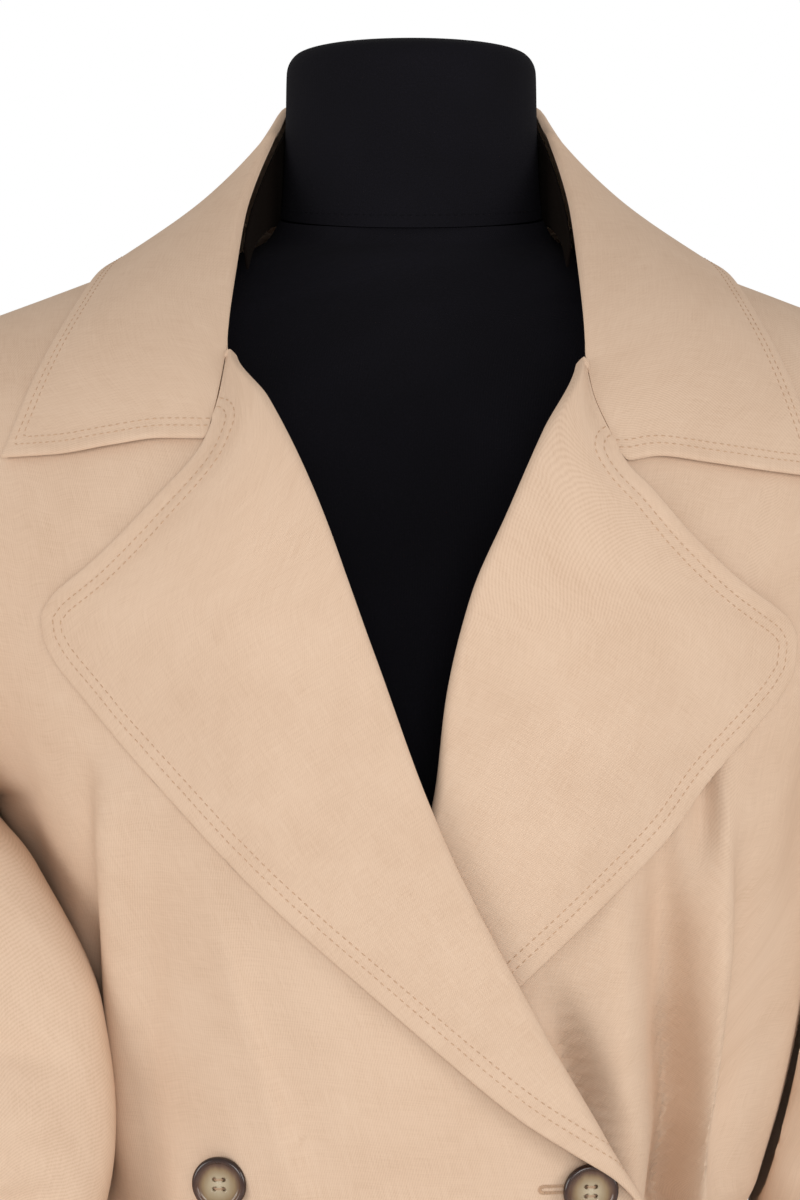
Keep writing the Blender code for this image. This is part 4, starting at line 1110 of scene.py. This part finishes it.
# creases, a ridge above 0 and a trough below it, from (turn, down) to (turn, down) as shares of the sleeve
sleeveCreasesRight = (
    # firstTurn, firstDown, lastTurn, lastDown, width, depth
    (0.20, 0.18, 0.40, 0.34, 0.010, -0.0045),
    (0.24, 0.14, 0.46, 0.24, 0.013, 0.0040),
    (0.22, 0.30, 0.34, 0.50, 0.012, -0.0040),
    (0.30, 0.36, 0.38, 0.56, 0.014, 0.0045),
    (0.17, 0.60, 0.42, 0.55, 0.009, -0.0055),
    (0.17, 0.64, 0.46, 0.62, 0.012, 0.0050),
    (0.17, 0.69, 0.40, 0.71, 0.009, -0.0055),
    (0.20, 0.74, 0.44, 0.80, 0.012, 0.0040),
    (0.24, 0.80, 0.36, 0.90, 0.010, -0.0035),
    (0.62, 0.22, 0.74, 0.40, 0.014, -0.0050),
    (0.54, 0.30, 0.66, 0.52, 0.016, 0.0045),
    (0.60, 0.60, 0.84, 0.64, 0.011, -0.0050),
    (0.56, 0.68, 0.82, 0.71, 0.013, 0.0045),
    (0.62, 0.76, 0.80, 0.84, 0.012, -0.0040),
)
sleeveCreasesLeft = (
    (0.20, 0.20, 0.38, 0.38, 0.011, -0.0050),
    (0.26, 0.15, 0.44, 0.28, 0.013, 0.0040),
    (0.21, 0.34, 0.30, 0.52, 0.011, -0.0040),
    (0.30, 0.40, 0.40, 0.58, 0.014, 0.0040),
    (0.17, 0.58, 0.38, 0.60, 0.010, -0.0055),
    (0.18, 0.63, 0.44, 0.66, 0.012, 0.0050),
    (0.17, 0.70, 0.38, 0.68, 0.009, -0.0050),
    (0.22, 0.75, 0.42, 0.78, 0.012, 0.0045),
    (0.64, 0.20, 0.76, 0.42, 0.014, -0.0050),
    (0.56, 0.34, 0.68, 0.54, 0.016, 0.0045),
    (0.62, 0.62, 0.84, 0.60, 0.011, -0.0050),
    (0.56, 0.66, 0.80, 0.70, 0.013, 0.0045),
    (0.60, 0.78, 0.78, 0.82, 0.012, -0.0040),
)
sleeveLook = {
    "gap": 0.0009, "clearance": 0.0032, "wall": 0.0013, "columns": 136, "rows": 160,
    "corner": 0.45, "cornerDown": (0.25, 0.45),    # how square the side next to the body's front hangs
    "bulge": 0.036, "bulgeUp": (0.85, 0.60), "clearBelow": 0.03,
    "length": 0.62, "girth": 0.43, "seamTurn": 0.86, "seamDepth": 0.0010, "seamWidth": 0.0022, "gather": 0.6,
    "creaseSide": (0.10, 0.22), "creaseSpread": (0.75, 1.25), "creaseEnds": 0.32, "creaseFade": 0.018,
    "cuffCalm": (0.02, 0.05, 0.15), "headCalm": 0.03, "rumpleSide": 0.2, "rumpleCalm": 0.04,
    "cuffRow": (0.025,), "swell": 0.0005, "roundness": 0.0008, "headSwell": 0.0010,
    "headRound": (0.004, 0.03), "rumple": 0.0012, "rumpleSize": 0.045, "sink": 0.0009,
    "cut": (0.50, 0.70), "area": 0.235,
}


def armholePoint(sign, turn):
    # a point of the armhole: turn 0 is its lowest and pi its highest, going round the front
    drop = -math.cos(turn)
    far = trunkLook["armholeBottom"] if drop <= 0.0 else trunkLook["shoulderPoint"]
    level = mix(trunkLook["armholeMiddle"], far, abs(drop))
    return bareTrunk(-1 if turn < math.pi else 1, sign * halfWidth(sign, level), level)


def sideReach(sign, y, z):
    # how far the trunk reaches to one side at a height and distance from the side plane
    depth = trunk.at(z, "front" if y < 0.0 else "back")
    reach = 1.0 - min(1.0, abs(y) / depth) ** (1.0 / trunk.at(z, "rounding"))
    return halfWidth(sign, z) * reach ** (1.0 / trunk.at(z, "power"))


def sleevePlace(rings, sign):
    def place(u, v):
        turn = 2.0 * math.pi * (u % 1.0)
        tilt = math.radians(rings.along(v, "tilt"))
        centre = Vector([rings.along(v, name) for name in "xyz"])
        outward = Vector((math.cos(tilt), 0.0, math.sin(tilt)))
        cosine, sine = math.cos(turn), math.sin(turn)
        corner = sleeveLook["corner"] * ramp(*sleeveLook["cornerDown"], v) * (cosine > 0.0 and sine > 0.0)
        across = math.copysign(abs(cosine) ** (1.0 - corner), cosine)
        forward = math.copysign(abs(sine) ** (1.0 - corner), sine)
        point = centre + outward * rings.along(v, "halfWidth") * -across
        point.y -= rings.along(v, "halfDepth") * forward
        point.x -= sleeveLook["bulge"] * corner * ramp(*sleeveLook["bulgeUp"], v) * math.sin(2.0 * turn)
        hole = armholePoint(sign, turn)
        hole.x = sleeveLook["gap"] + abs(hole.x)
        point = hole.lerp(point, ramp(0.0, 1.0 / rings.first[-1], v))
        bottom = trunkLook["armholeBottom"]
        if point.z < bottom:
            sunk = ramp(bottom, bottom - sleeveLook["clearBelow"], point.z)
            beside = mix(sleeveLook["gap"], sleeveLook["clearance"], sunk)
            point.x = max(point.x, sideReach(sign, point.y, point.z) + beside)
        point.x *= sign
        return point

    return place


def creaseLift(turns, downs, creases):
    # troughs and ridges round the sleeve, gone next to the body
    lift = np.zeros_like(turns)
    for firstTurn, firstDown, lastTurn, lastDown, width, depth in creases:
        start = np.array((firstTurn * sleeveLook["girth"], firstDown * sleeveLook["length"]))
        run = np.array((lastTurn * sleeveLook["girth"], lastDown * sleeveLook["length"])) - start
        span = float(np.linalg.norm(run))
        a = turns * sleeveLook["girth"] - start[0]
        b = downs * sleeveLook["length"] - start[1]
        along = (a * run[0] + b * run[1]) / span ** 2
        aside = (a * run[1] - b * run[0]) / span
        spreading = width * mix(*sleeveLook["creaseSpread"], np.clip(along, 0.0, 1.0))
        past = np.clip(np.abs(along - 0.5) - sleeveLook["creaseEnds"], 0.0, None)
        lift += depth * np.exp(-(aside / spreading) ** 2) * np.exp(-past ** 2 / sleeveLook["creaseFade"])
    near, far = sleeveLook["creaseSide"]
    clear = np.clip((0.5 - np.abs(turns - 0.5) - near) / (far - near), 0.0, 1.0)
    return lift * clear * clear * (3.0 - 2.0 * clear)


def gatheredTurn(t):
    # columns crowd together where the seam runs
    seam, gather = sleeveLook["seamTurn"], sleeveLook["gather"] / (2.0 * math.pi)
    return t - gather * (math.sin(2.0 * math.pi * (t - seam)) + math.sin(2.0 * math.pi * seam))


def buildSleeve(name, node, rings, sign, creases):
    columns, rows = sleeveLook["columns"], sleeveLook["rows"]
    turns = [gatheredTurn(i / columns) for i in range(columns + 1)]
    place = sleevePlace(rings, sign)
    points = np.array([[place(u, j / rows) for j in range(rows + 1)] for u in turns])
    if sign > 0:
        points, turns = points[::-1], turns[::-1]
    normals = gridNormals(points, True)
    allTurns = np.repeat(np.array(turns)[:, None], rows + 1, axis=1)
    allDowns = np.repeat(np.linspace(0.0, 1.0, rows + 1)[None, :], columns + 1, axis=0)
    toCuff = distanceTo(points, points[:, -1])
    toArmhole = distanceTo(points, points[:, 0])
    height = creaseLift(allTurns, allDowns, creases)
    start, width, least = sleeveLook["cuffCalm"]
    height *= np.clip((toCuff - start) / width, least, 1.0)
    height *= np.clip(toArmhole / sleeveLook["headCalm"], 0.0, 1.0)
    height += puffProfile(toCuff, sleeveLook["cuffRow"], sleeveLook["swell"], sleeveLook["roundness"])
    rise, fall = sleeveLook["headRound"]
    height += sleeveLook["headSwell"] * (1.0 - np.exp(-toArmhole / rise)) * np.exp(-toArmhole / fall)
    fromSeam = (allTurns - gatheredTurn(sleeveLook["seamTurn"])) * sleeveLook["girth"]
    height -= sleeveLook["seamDepth"] * np.exp(-(fromSeam / sleeveLook["seamWidth"]) ** 2)
    away = np.clip((0.5 - np.abs(allTurns - 0.5)) / sleeveLook["rumpleSide"], 0.0, 1.0)
    away *= np.clip(toArmhole / sleeveLook["rumpleCalm"], 0.0, 1.0)
    size = sleeveLook["rumpleSize"]
    bumps = np.array([[noise.noise(Vector(point) / size) for point in column] for column in points])
    height += sleeveLook["rumple"] * away * bumps
    raised = points + normals * (height - sleeveLook["sink"])[:, :, None]
    piece = standFor(clothPiece(name, raised, twill, sleeveLook["wall"], closed=True), node)
    sewRows(name + "Stitches", raised, (sleeveLook["cuffRow"], toCuff))


buildSleeve("sleeveRight", "sleeve_right", sleeveRight, -1.0, sleeveCreasesRight)
buildSleeve("sleeveLeft", "sleeve_left", sleeveLeft, 1.0, sleeveCreasesLeft)
print("sleeves set in")


# belt, its end, buckle and loops
beltLook = {
    "z": 0.90, "lift": 0.0046, "width": 0.045, "wall": 0.0018, "columns": 360, "rows": 20,
    "stitchRows": (0.0035, 0.0110, 0.0185), "swell": 0.00045, "roundness": 0.0008,
    "easeStart": 0.106, "easeEnd": 0.155, "cut": (0.045, 1.00),
    "endFrom": -0.010, "endTo": 0.132, "endLift": 0.0026, "endWall": 0.0018, "endPoint": 0.020,
    "endTaper": 0.55, "endColumns": 110, "endRows": 40, "endCut": (0.045, 0.15), "sink": 0.000405,
}
buckleLook = {
    "from": -0.032, "to": 0.030, "half": 0.0265, "lift": 0.0047, "barWidth": 0.0088, "barThick": 0.0030,
    "barFlatness": 0.7, "corner": 0.0075,
    "prongRadius": 0.0013, "prongInset": 0.002, "prongRounding": 0.03, "prongSag": 0.0012, "prongSeat": 0.6,
    "barGrid": (150, 20), "prongGrid": (60, 14),
}
loopLook = {
    "x": 0.118, "halfHeight": 0.028, "halfWidth": 0.0066, "lift": 0.0050, "wall": 0.0012,
    "overFrom": 0.003, "overTo": 0.002, "grid": (16, 90), "cut": (0.016, 0.077),
    "stitchRows": (0.0025,), "swell": 0.0003, "roundness": 0.0006, "sink": 0.0004,
}


def beltSurface(side, x):
    if side > 0:
        return beltLook["lift"]
    past = ramp(beltLook["easeStart"], beltLook["easeEnd"], x)
    return beltLook["lift"] + outerLift(x, beltLook["z"]) * (1.0 - past)


def onBelt(x, up, lift, side=-1):
    point = onTrunk(side, x, beltLook["z"], beltSurface(side, x) + lift, False)
    point.z = beltLook["z"] + up
    return point


def sewBelt(name, node, points, toEdge, wall, closed):
    height = puffProfile(toEdge, beltLook["stitchRows"], beltLook["swell"], beltLook["roundness"])
    raised = points + gridNormals(points, closed) * (height - beltLook["sink"])[:, :, None]
    piece = standFor(clothPiece(name, raised, twill, wall, closed=closed), node)
    sewRows(name.replace("Strap", "") + "Stitches", raised, (beltLook["stitchRows"], toEdge))


def buildBelt():
    def place(u, v):
        turn = 2.0 * math.pi * (u % 1.0)
        x = -math.cos(turn)
        x *= halfWidth(x, beltLook["z"])
        return onBelt(x, (v - 0.5) * beltLook["width"], 0.0, -1 if turn < math.pi else 1)

    points = gridPoints(place, beltLook["columns"], beltLook["rows"])
    toEdge = beltLook["width"] / 2.0 - np.abs(points[:, :, 2] - beltLook["z"])
    sewBelt("beltStrap", "belt", points, toEdge, beltLook["wall"], True)


def buildBeltEnd():
    def place(u, v):
        x = mix(beltLook["endFrom"], beltLook["endTo"], u)
        nearTip = max(0.0, (x - beltLook["endTo"] + beltLook["endPoint"]) / beltLook["endPoint"])
        width = beltLook["width"] * (1.0 - beltLook["endTaper"] * nearTip)
        return onBelt(x, (v - 0.5) * width, beltLook["endLift"])

    points = gridPoints(place, beltLook["endColumns"], beltLook["endRows"])
    outline = np.concatenate([sampled(lambda t: place(t, 0.0)), sampled(lambda t: place(1.0, t), 40),
                              sampled(lambda t: place(1.0 - t, 1.0))])
    toEdge = distanceTo(points, outline)
    sewBelt("beltEnd", "belt_end", points, toEdge, beltLook["endWall"], False)


def roundedFrame(t, halfAcross, halfUp, corner):
    # point and outward direction on a rectangle with round corners, t from 0 to 1 round it
    arc = math.pi / 2.0 * corner
    sides = (2.0 * (halfUp - corner), arc, 2.0 * (halfAcross - corner), arc) * 2
    want = (t % 1.0) * sum(sides)
    turn = 0.0
    for number, length in enumerate(sides):
        if want <= length:
            break
        want -= length
        turn += math.pi / 2.0 if number % 2 else 0.0
    centres = ((1.0, 1.0), (-1.0, 1.0), (-1.0, -1.0), (1.0, -1.0))
    step = number // 2
    if number % 2:
        angle = turn + want / corner
        cx, cy = centres[step]
        out = (math.cos(angle), math.sin(angle))
        return cx * (halfAcross - corner) + out[0] * corner, cy * (halfUp - corner) + out[1] * corner, out
    out = (round(math.cos(turn)), round(math.sin(turn)))
    along = (-out[1], out[0])
    reach = (halfAcross if out[0] else halfUp)
    start = -(halfUp if out[0] else halfAcross) + corner
    return out[0] * reach + along[0] * (start + want), out[1] * reach + along[1] * (start + want), out


def buildBuckle():
    look = buckleLook
    middle = (look["from"] + look["to"]) / 2.0
    halfAcross = (look["to"] - look["from"] - look["barWidth"]) / 2.0
    halfUp = look["half"] - look["barWidth"] / 2.0

    def bar(u, v):
        across, up, out = roundedFrame(u, halfAcross, halfUp, look["corner"])
        angle = -2.0 * math.pi * v
        cosine, sine = math.cos(angle), math.sin(angle)
        aside = math.copysign(abs(cosine) ** look["barFlatness"], cosine) * look["barWidth"] / 2.0
        lift = math.copysign(abs(sine) ** look["barFlatness"], sine) * look["barThick"] / 2.0
        return onBelt(middle + across + out[0] * aside, up + out[1] * aside, look["lift"] + lift)

    def prong(u, v):
        angle = -2.0 * math.pi * v
        x = mix(look["from"] + look["prongInset"], look["to"] - look["prongInset"], u)
        thin = look["prongRadius"] * min(1.0, math.sqrt(max(0.0, min(u, 1.0 - u) / look["prongRounding"])))
        rise = look["lift"] + look["barThick"] / 2.0 + thin * (look["prongSeat"] + math.sin(angle))
        return onBelt(x, thin * math.cos(angle), rise - look["prongSag"] * math.sin(math.pi * u))

    standFor(closedPiece("buckleFrame", gridPoints(bar, *look["barGrid"]), leather), "buckle")
    closedPiece("bucklePin", gridPoints(prong, *look["prongGrid"]), leather)


def buildLoop(name, node, x):
    look = loopLook
    half, edge = look["halfHeight"], beltLook["width"] / 2.0

    def place(u, v):
        up = mix(-half, half, v)
        over = ramp(half - look["overFrom"], edge + look["overTo"], abs(up))
        lift = mix(look["lift"], beltLook["lift"] + look["lift"], over)
        return onTrunk(1, x + mix(-1.0, 1.0, u) * look["halfWidth"], beltLook["z"] + up, lift)

    points = gridPoints(place, *look["grid"])[::-1]
    toSide = np.minimum(distanceTo(points, points[0]), distanceTo(points, points[-1]))
    height = puffProfile(toSide, look["stitchRows"], look["swell"], look["roundness"])
    raised = points + gridNormals(points, False) * (height - look["sink"])[:, :, None]
    piece = standFor(clothPiece(name, raised, twill, look["wall"]), node)
    sewRows(name + "Stitches", raised, (look["stitchRows"], toSide))


buildBelt()
buildBeltEnd()
buildBuckle()
buildLoop("beltLoopRight", "belt_loop_right", -loopLook["x"])
buildLoop("beltLoopLeft", "belt_loop_left", loopLook["x"])
print("belt fastened")


# buttons: four-hole horn, turned with a raised rim, sewn on with beige thread
buttonLook = {
    "rowsZ": (0.9635, 0.80, 0.64), "columnsX": (-0.0830, 0.0755), "clearance": 0.0004, "around": 72,
    "radius": 0.0125, "turned": 0.55, "shank": 0.0022,
    "holeRadius": 0.00105, "holeApart": 0.0021, "holeSides": 14, "holeZ": 0.002, "drillLength": 0.02,
    "threadHeight": 0.00285, "threadApart": 0.00028,
    "thread": {"length": 0.0046, "width": 0.00040, "height": 0.0005, "proud": 0.0},
    "shankThread": {"length": 0.0033, "width": 0.0034, "height": 0.0034, "proud": -0.0017},
}
buttonholeLook = {
    "start": 0.0560, "end": 0.0840, "lip": 0.001488, "along": 44, "round": 9,
    "thread": {"length": 0.0019, "width": 0.00062, "height": 0.0006, "proud": -0.0002},
}
buttonProfile = (
    # radius, height, from the underside to the sunk middle
    (0.0001, 0.0002), (0.0060, 0.0002), (0.0085, 0.0002), (0.0104, 0.0004), (0.0118, 0.0009),
    (0.0124, 0.0015), (0.0125, 0.0022), (0.0123, 0.0030), (0.0118, 0.0036), (0.0112, 0.00395),
    (0.0106, 0.0040), (0.0101, 0.0038), (0.0097, 0.0034), (0.0094, 0.0031), (0.0085, 0.00295),
    (0.0070, 0.0029), (0.0050, 0.0028), (0.0030, 0.0027), (0.0001, 0.00265),
)


def turnedMesh(profile, around):
    # a profile of (radius, height) spun round the Z axis
    mesh = bmesh.new()
    verts = [mesh.verts.new((radius, 0.0, height)) for radius, height in profile]
    edges = [mesh.edges.new(pair) for pair in zip(verts[:-1], verts[1:])]
    bmesh.ops.spin(mesh, geom=verts + edges, cent=(0.0, 0.0, 0.0), axis=(0.0, 0.0, 1.0), angle=2.0 * math.pi,
                   steps=around, use_merge=True)
    bmesh.ops.remove_doubles(mesh, verts=mesh.verts, dist=1e-6)
    closeEnds(mesh)
    bmesh.ops.recalc_face_normals(mesh, faces=mesh.faces)
    return mesh


def closeEnds(mesh):
    rims = [edge for edge in mesh.edges if edge.is_boundary]
    if rims:
        bmesh.ops.holes_fill(mesh, edges=rims)


def drilledButton():
    # one button about the origin, its four holes cut through
    blank = bpy.data.objects.new("buttonBlank", bpy.data.meshes.new("buttonBlank"))
    mesh = turnedMesh(buttonProfile, buttonLook["around"])
    mesh.to_mesh(blank.data)
    mesh.free()
    drills = bpy.data.objects.new("buttonDrills", bpy.data.meshes.new("buttonDrills"))
    mesh = bmesh.new()
    for right in (-1, 1):
        for up in (-1, 1):
            apart, radius = buttonLook["holeApart"], buttonLook["holeRadius"]
            place = Matrix.Translation((right * apart, up * apart, buttonLook["holeZ"]))
            bmesh.ops.create_cone(mesh, cap_ends=True, segments=buttonLook["holeSides"], radius1=radius,
                                  radius2=radius, depth=buttonLook["drillLength"], matrix=place)
    mesh.to_mesh(drills.data)
    mesh.free()
    for made in (blank, drills):
        scene.collection.objects.link(made)
    cut = blank.modifiers.new("cut", "BOOLEAN")
    cut.operation = "DIFFERENCE"
    cut.solver = "EXACT"
    cut.object = drills
    shaped = bpy.data.meshes.new_from_object(blank.evaluated_get(bpy.context.evaluated_depsgraph_get()))
    for made in (blank, drills):
        bpy.data.objects.remove(made, do_unlink=True)
    return shaped


def seatOnFront(x, z, turned=0.0, lift=0.0):
    # frame on the outer front: place, across, up and out
    level = levelOf(x, z)
    base = onTrunk(-1, x, level, outerLift(x, level) + buttonLook["clearance"])
    out = (onTrunk(-1, x, level, 1.0, False) - onTrunk(-1, x, level, 0.0, False)).normalized()
    out = out.lerp(Vector((0.0, -1.0, 0.0)), turned).normalized()
    base += out * lift
    across = out.cross(Vector((0.0, 0.0, 1.0))).normalized() * -1.0
    up = out.cross(across).normalized()
    seat = Matrix.Translation(base) @ Matrix((across, up, out)).transposed().to_4x4()
    return seat, base, across, up, out


def buildButton(name, node, shaped, x, z):
    seat, base, across, up, out = seatOnFront(x, z, buttonLook["turned"], buttonLook["shank"])
    mesh = bmesh.new()
    mesh.from_mesh(shaped)
    layer = mesh.loops.layers.uv.new("cloth")  # distance from the middle, and height from 0 to 1 for the painted shade at the top
    radius = buttonLook["radius"]
    for face in mesh.faces:
        for loop in face.loops:
            spot = loop.vert.co
            loop[layer].uv = (math.hypot(spot.x, spot.y) / radius, 0.5 + spot.y / (2.0 * radius))
    bmesh.ops.transform(mesh, matrix=seat, verts=mesh.verts)
    standFor(finishPiece(name, mesh, horn), node)
    strands = []
    for row in (-1, 1):
        for side in (-1, 1):
            aside = row * buttonLook["holeApart"] + side * buttonLook["threadApart"]
            strands.append((base + up * aside + out * buttonLook["threadHeight"], across, out))
    stitchPiece(name + "Thread", strands, thread, buttonLook["thread"])
    below = [(base - out * (buttonLook["shank"] * 0.5), out, across)]
    stitchPiece(name + "Shank", below, thread, buttonLook["shankThread"])


def buildButtonhole(name, z):
    # a worked buttonhole: close stitches laid across both lips of the slot and round its end
    look, places = buttonholeLook, []
    for k in range(look["along"]):
        x = mix(look["start"], look["end"], (k + 0.5) / look["along"])
        seat, base, across, up, out = seatOnFront(x, z)
        for lip in (-1.0, 1.0):
            places.append((base + up * lip * look["lip"], up, out))
    seat, base, across, up, out = seatOnFront(look["start"], z)
    for k in range(look["round"]):
        angle = math.radians(90.0 + 180.0 * k / (look["round"] - 1))
        ray = across * math.cos(angle) + up * math.sin(angle)
        places.append((base + ray * look["lip"], ray, out))
    stitchPiece(name, places, thread, look["thread"])


shapedButton = drilledButton()
for row, z in enumerate(buttonLook["rowsZ"], start=1):
    for column, x in zip(("right", "left"), buttonLook["columnsX"]):
        name, node = "button" + column.capitalize() + str(row), "button_" + column + "_" + str(row)
        buildButton(name, node, shapedButton, x, z)
    buildButtonhole("buttonhole" + str(row), z)
print("buttons sewn on")


# dress form: jersey-covered torso and neck on a steel pole and plate
formRings = Table(
    "z halfWidth front back",
    (0.780, 0.155, 0.100, 0.110),
    (0.860, 0.158, 0.106, 0.118),
    (0.920, 0.136, 0.098, 0.102),
    (0.985, 0.125, 0.095, 0.090),
    (1.060, 0.138, 0.110, 0.092),
    (1.150, 0.152, 0.128, 0.098),
    (1.230, 0.160, 0.112, 0.102),
    (1.300, 0.180, 0.088, 0.100),
    (1.340, 0.184, 0.072, 0.084),
    (1.3590, 0.176, 0.058, 0.066),
    (1.3700, 0.1500, 0.052, 0.060),
    (1.3830, 0.1120, 0.048, 0.058),
    (1.3920, 0.0820, 0.044, 0.060),
    (1.3980, 0.0700, 0.042, 0.063),
    (1.4080, 0.0640, 0.040, 0.064),
)
neckRings = Table(
    "z halfWidth halfDepth slope",
    (1.4084, 0.0640, 0.052, 0.20),
    (1.4250, 0.0625, 0.051, 0.12),
    (1.4550, 0.0615, 0.050, 0.03),
    (1.4800, 0.0610, 0.050, 0.00),
    (1.4890, 0.0565, 0.046, 0.00),
    (1.4930, 0.0430, 0.034, 0.00),
    (1.4945, 0.0200, 0.016, 0.00),
    (1.4946, 0.0002, 0.0002, 0.00),
)
formLook = {
    "columns": 96, "rows": 90, "neckRows": 60, "neckY": 0.010, "slope": 0.20, "slopeZ": (1.385, 1.408),
    "bottomShare": 0.05, "neckSeam": 0.045,
    "bottom": 0.78, "gap": 0.0004, "axis": 0.0001,
    "poleRadius": 0.0125, "poleRound": 0.0008, "poleRings": (0.25, 0.5), "poleAround": 64,
    "plateRadius": 0.17, "plateHeight": 0.007, "plateChamfer": 0.0010, "plateRing": 0.10, "plateAround": 128,
    "plateRound": ((0.0, 0.0025), (0.0008, 0.0009), (0.0026, 0.0)),    # in from the rim, down from the top
}


def oval(turn, halfWidthHere, front, back):
    y = -math.sin(turn)
    return Vector((-halfWidthHere * math.cos(turn), y * (front if y < 0.0 else back), 0.0))


def torsoPoint(u, v):
    # the first share of rows closes the underside, the rest climbs to the neck seam
    share = formLook["bottomShare"]
    climb = max(0.0, (v - share) / (1.0 - share))
    reaches = [formRings.along(climb, name) for name in ("halfWidth", "front", "back")]
    point = oval(2.0 * math.pi * u, *reaches) * max(0.001, min(1.0, v / share))
    z = formRings.along(climb, "z")
    point.z = z + formLook["slope"] * point.y * ramp(*formLook["slopeZ"], z)
    return point


def neckPoint(u, v):
    depth = neckRings.along(v, "halfDepth")
    point = oval(2.0 * math.pi * u, neckRings.along(v, "halfWidth"), depth, depth)
    point.y += formLook["neckY"]
    point.z = neckRings.along(v, "z") + neckRings.along(v, "slope") * point.y
    return point


def buildForm():
    torso = gridPoints(torsoPoint, formLook["columns"], formLook["rows"])
    standFor(closedPiece("formTorso", torso, jersey), "form_torso")
    neck = gridPoints(neckPoint, formLook["columns"], formLook["neckRows"])
    standFor(closedPiece("formNeck", neck, jersey), "form_neck")
    line = []
    for spot in sampled(lambda t: neckPoint(t, formLook["neckSeam"]), 120):
        away = Vector((spot[0], spot[1] - formLook["neckY"], 0.0))
        line.append((Vector(spot), away.normalized()))
    stitchPiece("neckSeamStitches", stitchesAlong(line), jersey)


def buildPole():
    # profiles are (radius, height), from the underside's middle to the top's
    axis, radius, rounding = formLook["axis"], formLook["poleRadius"], formLook["poleRound"]
    low, high = formLook["plateHeight"] + formLook["gap"], formLook["bottom"] - formLook["gap"]
    profile = [(axis, low), (radius - rounding, low), (radius, low + rounding)]
    profile += [(radius, height) for height in formLook["poleRings"]]
    profile += [(radius, high - rounding), (radius - rounding, high), (axis, high)]
    pole = finishPiece("standPole", turnedMesh(profile, formLook["poleAround"]), steel)
    standFor(pole, "pole")


def buildPlate():
    axis, radius, height = formLook["axis"], formLook["plateRadius"], formLook["plateHeight"]
    profile = [(axis, 0.0), (radius - formLook["plateChamfer"], 0.0), (radius, formLook["plateChamfer"])]
    profile += [(radius - inward, height - down) for inward, down in formLook["plateRound"]]
    profile += [(formLook["plateRing"], height), (axis, height)]
    plate = finishPiece("basePlate", turnedMesh(profile, formLook["plateAround"]), steel)
    standFor(plate, "base_plate")


buildForm()
buildPole()
buildPlate()
print("form and stand placed")


# floor, daylight room and studio lights
stageLook = {
    "floorHalf": 4.0, "room": 0.48, "roomColour": "#FFFDFA", "lampColour": (1.0, 0.985, 0.965),
    "lights": (
        # name, place, aim, size, power
        ("front", (0.20, -2.60, 1.35), (0.0, 0.0, 1.10), 1.00, 18.0),
        ("sideRight", (-2.30, -1.60, 1.25), (0.0, 0.0, 1.05), 1.30, 24.0),
        ("sideLeft", (2.30, -1.60, 1.45), (0.0, 0.0, 1.05), 1.30, 23.0),
    ),
}


def buildFloor():
    mesh = bmesh.new()
    bmesh.ops.create_grid(mesh, x_segments=1, y_segments=1, size=stageLook["floorHalf"])
    data = bpy.data.meshes.new("floor")
    mesh.to_mesh(data)
    mesh.free()
    made, tree, shader = newMaterial("paperPainted", Roughness=0.9)  # matt white paper roll, faint clouds
    place = addNode(tree, "TexCoord").outputs["Object"]
    clouds = addNode(tree, "TexNoise", {"Vector": place, "Scale": 1.0 / 0.8, "Detail": 3.0})
    colour = addNode(tree, "ValToRGB", (clouds,), ((0.3, "#ECEAE7"), (0.7, "#F4F3F1")))
    tree.links.new(colour.outputs[0], shader.inputs["Base Color"])
    data.materials.append(made)
    floor = bpy.data.objects.new("floor", data)
    scene.collection.objects.link(floor)


def buildRoom():
    # even light from all round; straight behind the object the room is plain white
    room = bpy.data.worlds.new("room")
    scene.world = room
    room.use_nodes = True
    tree = room.node_tree
    tree.nodes.clear()
    seen = addNode(tree, "LightPath").outputs["Is Camera Ray"]
    soft = addNode(tree, "Background", {"Color": linear(stageLook["roomColour"]),
                                        "Strength": stageLook["room"]})
    plain = addNode(tree, "Background", {"Color": linear("#FFFFFF"), "Strength": 1.0})
    either = addNode(tree, "MixShader", (seen, soft, plain))
    addNode(tree, "OutputWorld", (either,))


def buildLight(name, place, aim, size, power):
    lamp = bpy.data.lights.new(name, "AREA")
    lamp.size = size
    lamp.energy = power
    lamp.color = stageLook["lampColour"]
    light = bpy.data.objects.new(name, lamp)
    light.location = place
    light.rotation_euler = (Vector(aim) - Vector(place)).to_track_quat("-Z", "Y").to_euler()
    scene.collection.objects.link(light)


buildFloor()
buildRoom()
for settings in stageLook["lights"]:
    buildLight(*settings)
print("lights on")
